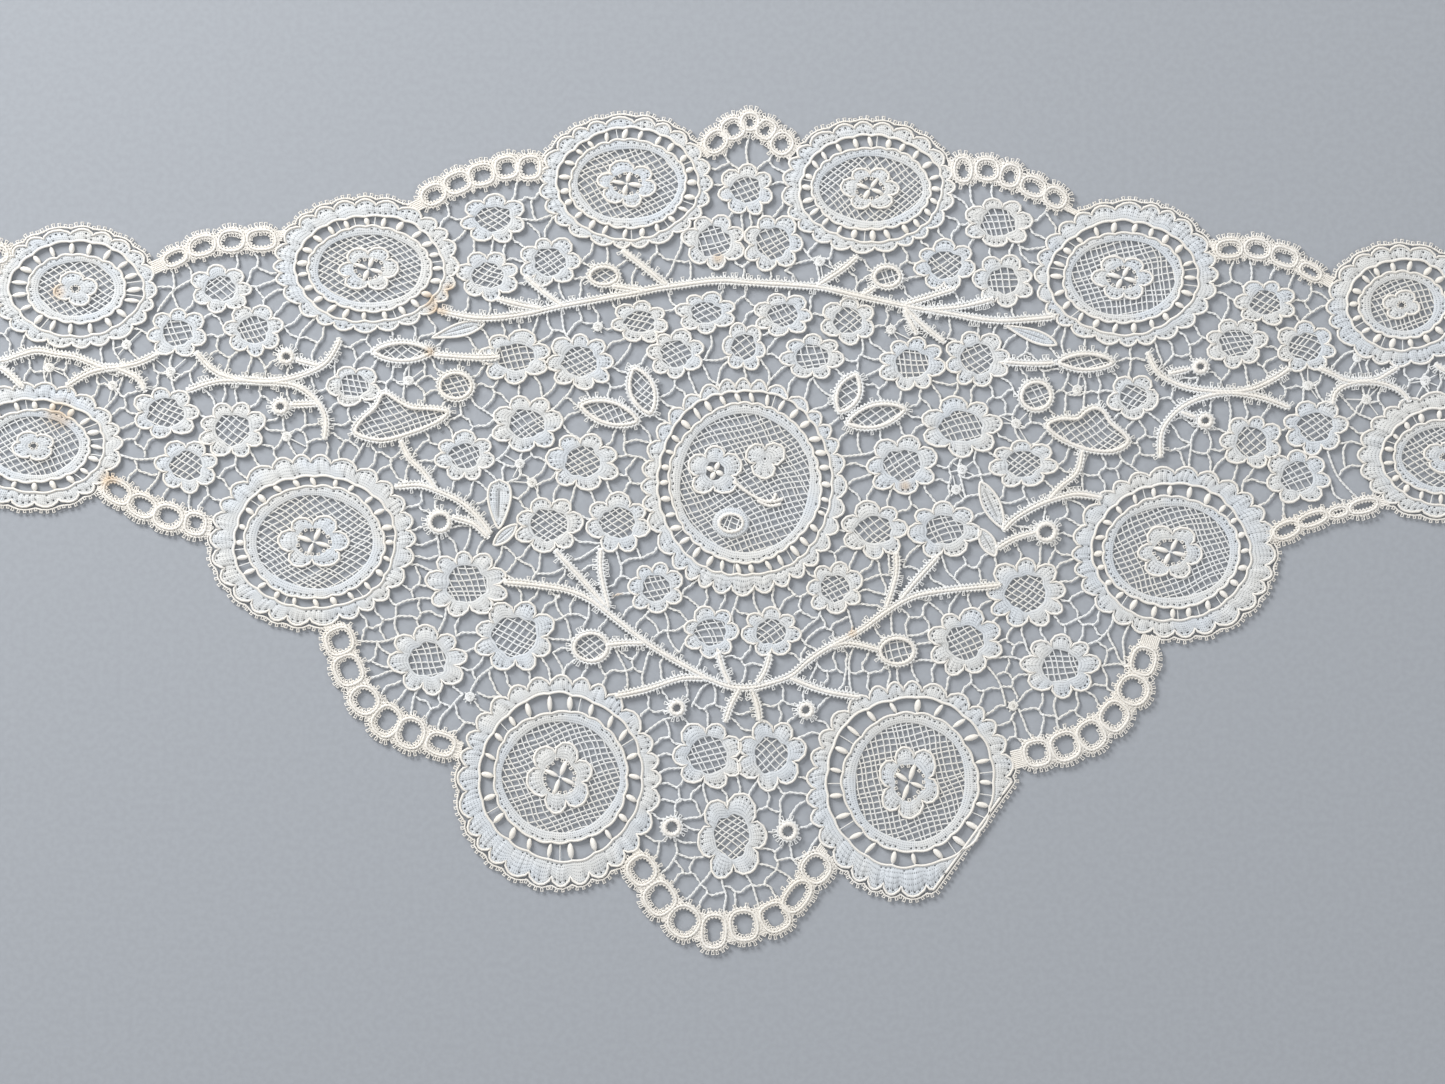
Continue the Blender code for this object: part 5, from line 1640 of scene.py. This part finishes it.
# Bar ends meet at their crossings, and the others run on; loose ones go, until none is left
def settleBars(found, field, kind):
    crossing, middles = shareCrossings(np.array([end for bar in found for end in bar]))
    pairs = [pair for pair in zip(crossing[::2], crossing[1::2])
             if np.hypot(*(middles[pair[1]] - middles[pair[0]])) >= chart["step"]]
    counts = Counter(number for pair in pairs for number in pair)
    middles = [drawIn(field, middle, kind["inMotif"]) if counts[number] > 1 else middle
               for number, middle in enumerate(middles)]
    for sweep in range(cells["sweeps"]):
        counts = Counter(number for pair in pairs for number in pair)
        settled = [runOn(pair, middles, counts, field, kind) for pair in pairs]
        isTied = [kind["stays"] or not isLoose for points, isLoose in settled]
        pairs = [pair for pair, tied in zip(pairs, isTied) if tied]
        if all(isTied):
            break
    rows = [(*points[0], *points[1], kind["bow"] * (1 if k % 2 else -1))
            for k, (points, isLoose) in enumerate(settled) if kind["stays"] or not isLoose]
    joints = [tuple(middles[number]) for number, count in counts.items() if count > 2]
    return rows, joints


# Where only two bars meet, at a sharp corner in the open, a third one pulls the other way
def cornerBars(rows, motifs, field, kind):
    meeting = {}
    for x0, y0, x1, y1, bow in rows:
        way = np.array([x1 - x0, y1 - y0]) / max(math.hypot(x1 - x0, y1 - y0), 1e-9)
        meeting.setdefault((round(x0, 2), round(y0, 2)), []).append(way)
        meeting.setdefault((round(x1, 2), round(y1, 2)), []).append(-way)
    extra = []
    for corner, ways in meeting.items():
        if len(ways) != 2 or ways[0] @ ways[1] < kind["blunt"] or fieldAt(motifs, *corner) < kind["open"]:
            continue
        pull = -(ways[0] + ways[1]) / max(np.hypot(*(ways[0] + ways[1])), 1e-9)
        for out in range(kind["first"], 2 * kind["longestRun"]):
            foot = corner + pull * out
            if fieldAt(field, *foot) < kind["inMotif"]:
                extra.append((*corner, *foot, kind["bow"]))
                break
    return extra


# A bar's bowed route, with the waver of a thread that hangs between two others
def barLine(row, seed):
    x0, y0, x1, y1, bow = row
    length = math.hypot(x1 - x0, y1 - y0)
    t = np.linspace(0, 1, max(int(round(length / bars["step"])), bars["leastSteps"]) + 1)
    lift = bow * 4 * t * (1 - t)
    line = np.column_stack([x0 + (x1 - x0) * t - (y1 - y0) * lift, y0 + (y1 - y0) * t + (x1 - x0) * lift])
    sway = min(bars["snake"], bars["snakeShare"] * length) * np.sin(math.pi * t)
    snake = np.sin(2 * math.pi * t) * (2 * chance(seed, 1) - 1)
    snake = snake + bars["curl"] * np.sin(3 * math.pi * t) * (2 * chance(seed, 2) - 1)
    return line + sideways(line) * (sway * snake)[:, None]


# A bar is two threads twisted about each other
def layBar(skein, line, seed):
    left = sideways(line)
    phase = math.pi / 2 * np.arange(len(line)) + bars["phase"] * chance(seed)
    for ply in (0.0, math.pi):
        side = bars["swing"] * np.cos(phase + ply)
        side[0] = side[-1] = bars["endSwing"] * math.cos(ply)
        height = bars["height"] + bars["lift"] * np.sin(phase + ply)
        skein.lay(np.column_stack([line + left * side[:, None], height]), bars["ply"])


spider = {"reach": 4.8, "turns": 3, "perTurn": 8, "thread": 0.00019, "legs": 7, "uneven": 0.6, "leg": 0.00014,
          "firstReach": 7, "longestLeg": 22, "height": 0.00052, "legDrop": 0.0001}


# A woven spider where bars cross: thread wound about its centre, and legs out to what stands round it
def laySpider(skein, x, y, field):
    turns = np.linspace(0, spider["turns"], spider["perTurn"] * spider["turns"] + 1)
    reach = spider["reach"] * np.sqrt(turns / spider["turns"])
    skein.lay(atHeight(oval(x, y, reach, reach, 2 * math.pi * turns), spider["height"]), spider["thread"])
    for leg in range(spider["legs"]):
        angle = 2 * math.pi * (leg + spider["uneven"] * chance(x, y, leg)) / spider["legs"]
        for out in range(spider["firstReach"], spider["longestLeg"]):
            foot = (x + out * math.cos(angle), y + out * math.sin(angle))
            if fieldAt(field, *foot) < 0:
                skein.lay(atHeight([(x, y), foot], spider["height"] - spider["legDrop"]), spider["leg"])
                break


# The lines of the main and the small bars, the places of their knots, and the field with all of it laid
def planBars():
    free = (motifField() > 0) & insidePolygon(gridXs[None, :], gridYs[:, None], edgeLine)
    dressed = motifField(True)
    laid = dressed.copy()
    pockets, count = labelRegions(free)
    owners, seeds = shareCells(pockets, count, bars["cell"])
    main, joints = settleBars(cellBars(owners, seeds, pockets), dressed, mainBar)
    main += [row + (mainBar["bow"],) for row in chartedBars]
    mainLines = [barLine(row, seed) for seed, row in enumerate(main)]
    for line in mainLines:
        stampLine(dressed, line, bars["half"])
    extra, extraCount = labelRegions(free & (owners < 0))
    labels = np.where(extra > 0, extra + len(seeds), np.where(owners >= 0, owners + 1, 0))
    owners, seeds = shareCells(labels, len(seeds) + extraCount, bars["smallCell"])
    small, smallJoints = settleBars(cellBars(owners, seeds, labels), dressed, smallBar)
    motifs = dressed.copy()
    for row in small:
        stampLine(dressed, [row[:2], row[2:4]], bars["half"])
    small += cornerBars(small, motifs, dressed, smallBar)
    smallLines = [barLine(row, seed + smallBar["seedShift"]) for seed, row in enumerate(small)]
    for line in mainLines + smallLines:
        stampLine(laid, line, bars["half"])
    print("bars", len(main), "and small ones", len(small))
    return mainLines, smallLines, joints + smallJoints, laid


def makeBars():
    mainLines, smallLines, joints, laid = planBars()
    mainSkein = Skein("main_bars", "ground", 0, True)
    for seed, line in enumerate(mainLines):
        layBar(mainSkein, line, seed)
    for row in ringBuds[-spiderBuds:] + spiders:
        laySpider(mainSkein, *row[:2], laid)
    mainSkein.piece()
    smallSkein = Skein("small_bars", "ground", 0, True)
    for seed, line in enumerate(smallLines):
        layBar(smallSkein, line, seed + smallBar["seedShift"])
    smallSkein.piece()
    knots = bmesh.new()
    for x, y in joints:
        place = Matrix.Translation(toMetres([(x, y, bars["height"])])[0])
        bmesh.ops.create_icosphere(knots, subdivisions=1, radius=bars["knot"], matrix=place)
    grainPiece(knots, "bar_knots", "ground", True)


makeBars()
print("bars worked")

stage = {"floor": (0.33, 0.35, 0.38, 1), "floorHalf": 1.5, "grain": 900.0, "grainDetail": 3.0,
         "grainEdge": (0.3, 0.7), "paler": 1.06, "roughness": 0.9}


def setStage():
    grid = bmesh.new()
    bmesh.ops.create_grid(grid, x_segments=1, y_segments=1, size=stage["floorHalf"])
    mesh = bpy.data.meshes.new("floor")
    grid.to_mesh(mesh)
    grid.free()
    floor = bpy.data.objects.new("floor", mesh)
    bpy.context.collection.objects.link(floor)
    material, shader, places = startFinish("pale_floor")
    grain = places.noise(stage["grain"], stage["grainDetail"]).ease(*stage["grainEdge"])
    paler = tuple(value * stage["paler"] for value in stage["floor"][:3]) + (1,)
    feed(shader, "Base Color", grain.blend(stage["floor"], paler))
    shader.inputs["Roughness"].default_value = stage["roughness"]
    mesh.materials.append(material)


# name, place in metres, side in metres, watts; each lamp looks at the middle of the floor
lamps = [
    ("window", (-0.55, 0.60, 0.50), 0.40, 10.5), ("bounce", (0.70, -0.35, 0.60), 0.8, 2.2),
    ("sky", (0.05, 0.05, 1.30), 1.0, 4.2),
]
room = {"tone": (0.95, 0.97, 1.0, 1), "strength": 0.28}


def setLights():
    for name, place, side, watts in lamps:
        light = bpy.data.lights.new(name, "AREA")
        light.energy = watts
        light.size = side
        lamp = bpy.data.objects.new(name, light)
        bpy.context.collection.objects.link(lamp)
        lamp.location = place
        lamp.rotation_euler = (-Vector(place)).to_track_quat("-Z", "Y").to_euler()
    world = bpy.data.worlds.new("soft_room")
    world.use_nodes = True
    world.node_tree.nodes["Background"].inputs["Color"].default_value = room["tone"]
    world.node_tree.nodes["Background"].inputs["Strength"].default_value = room["strength"]
    bpy.context.scene.world = world
    bpy.context.scene.view_settings.view_transform = "Standard"


# The camera hangs straight above the middle of the photograph; its lens and film are in millimetres
camera = {"x": 722.5, "y": 542.0, "height": 0.6483, "lens": 85, "film": 36}


def setCamera():
    lens = bpy.data.cameras.new("overhead")
    lens.lens = camera["lens"]
    lens.sensor_width = camera["film"]
    eye = bpy.data.objects.new("overhead", lens)
    bpy.context.collection.objects.link(eye)
    eye.location = toMetres([(camera["x"], camera["y"], camera["height"])])[0]
    bpy.context.scene.camera = eye


setStage()
setLights()
setCamera()
print("lappet dressed")
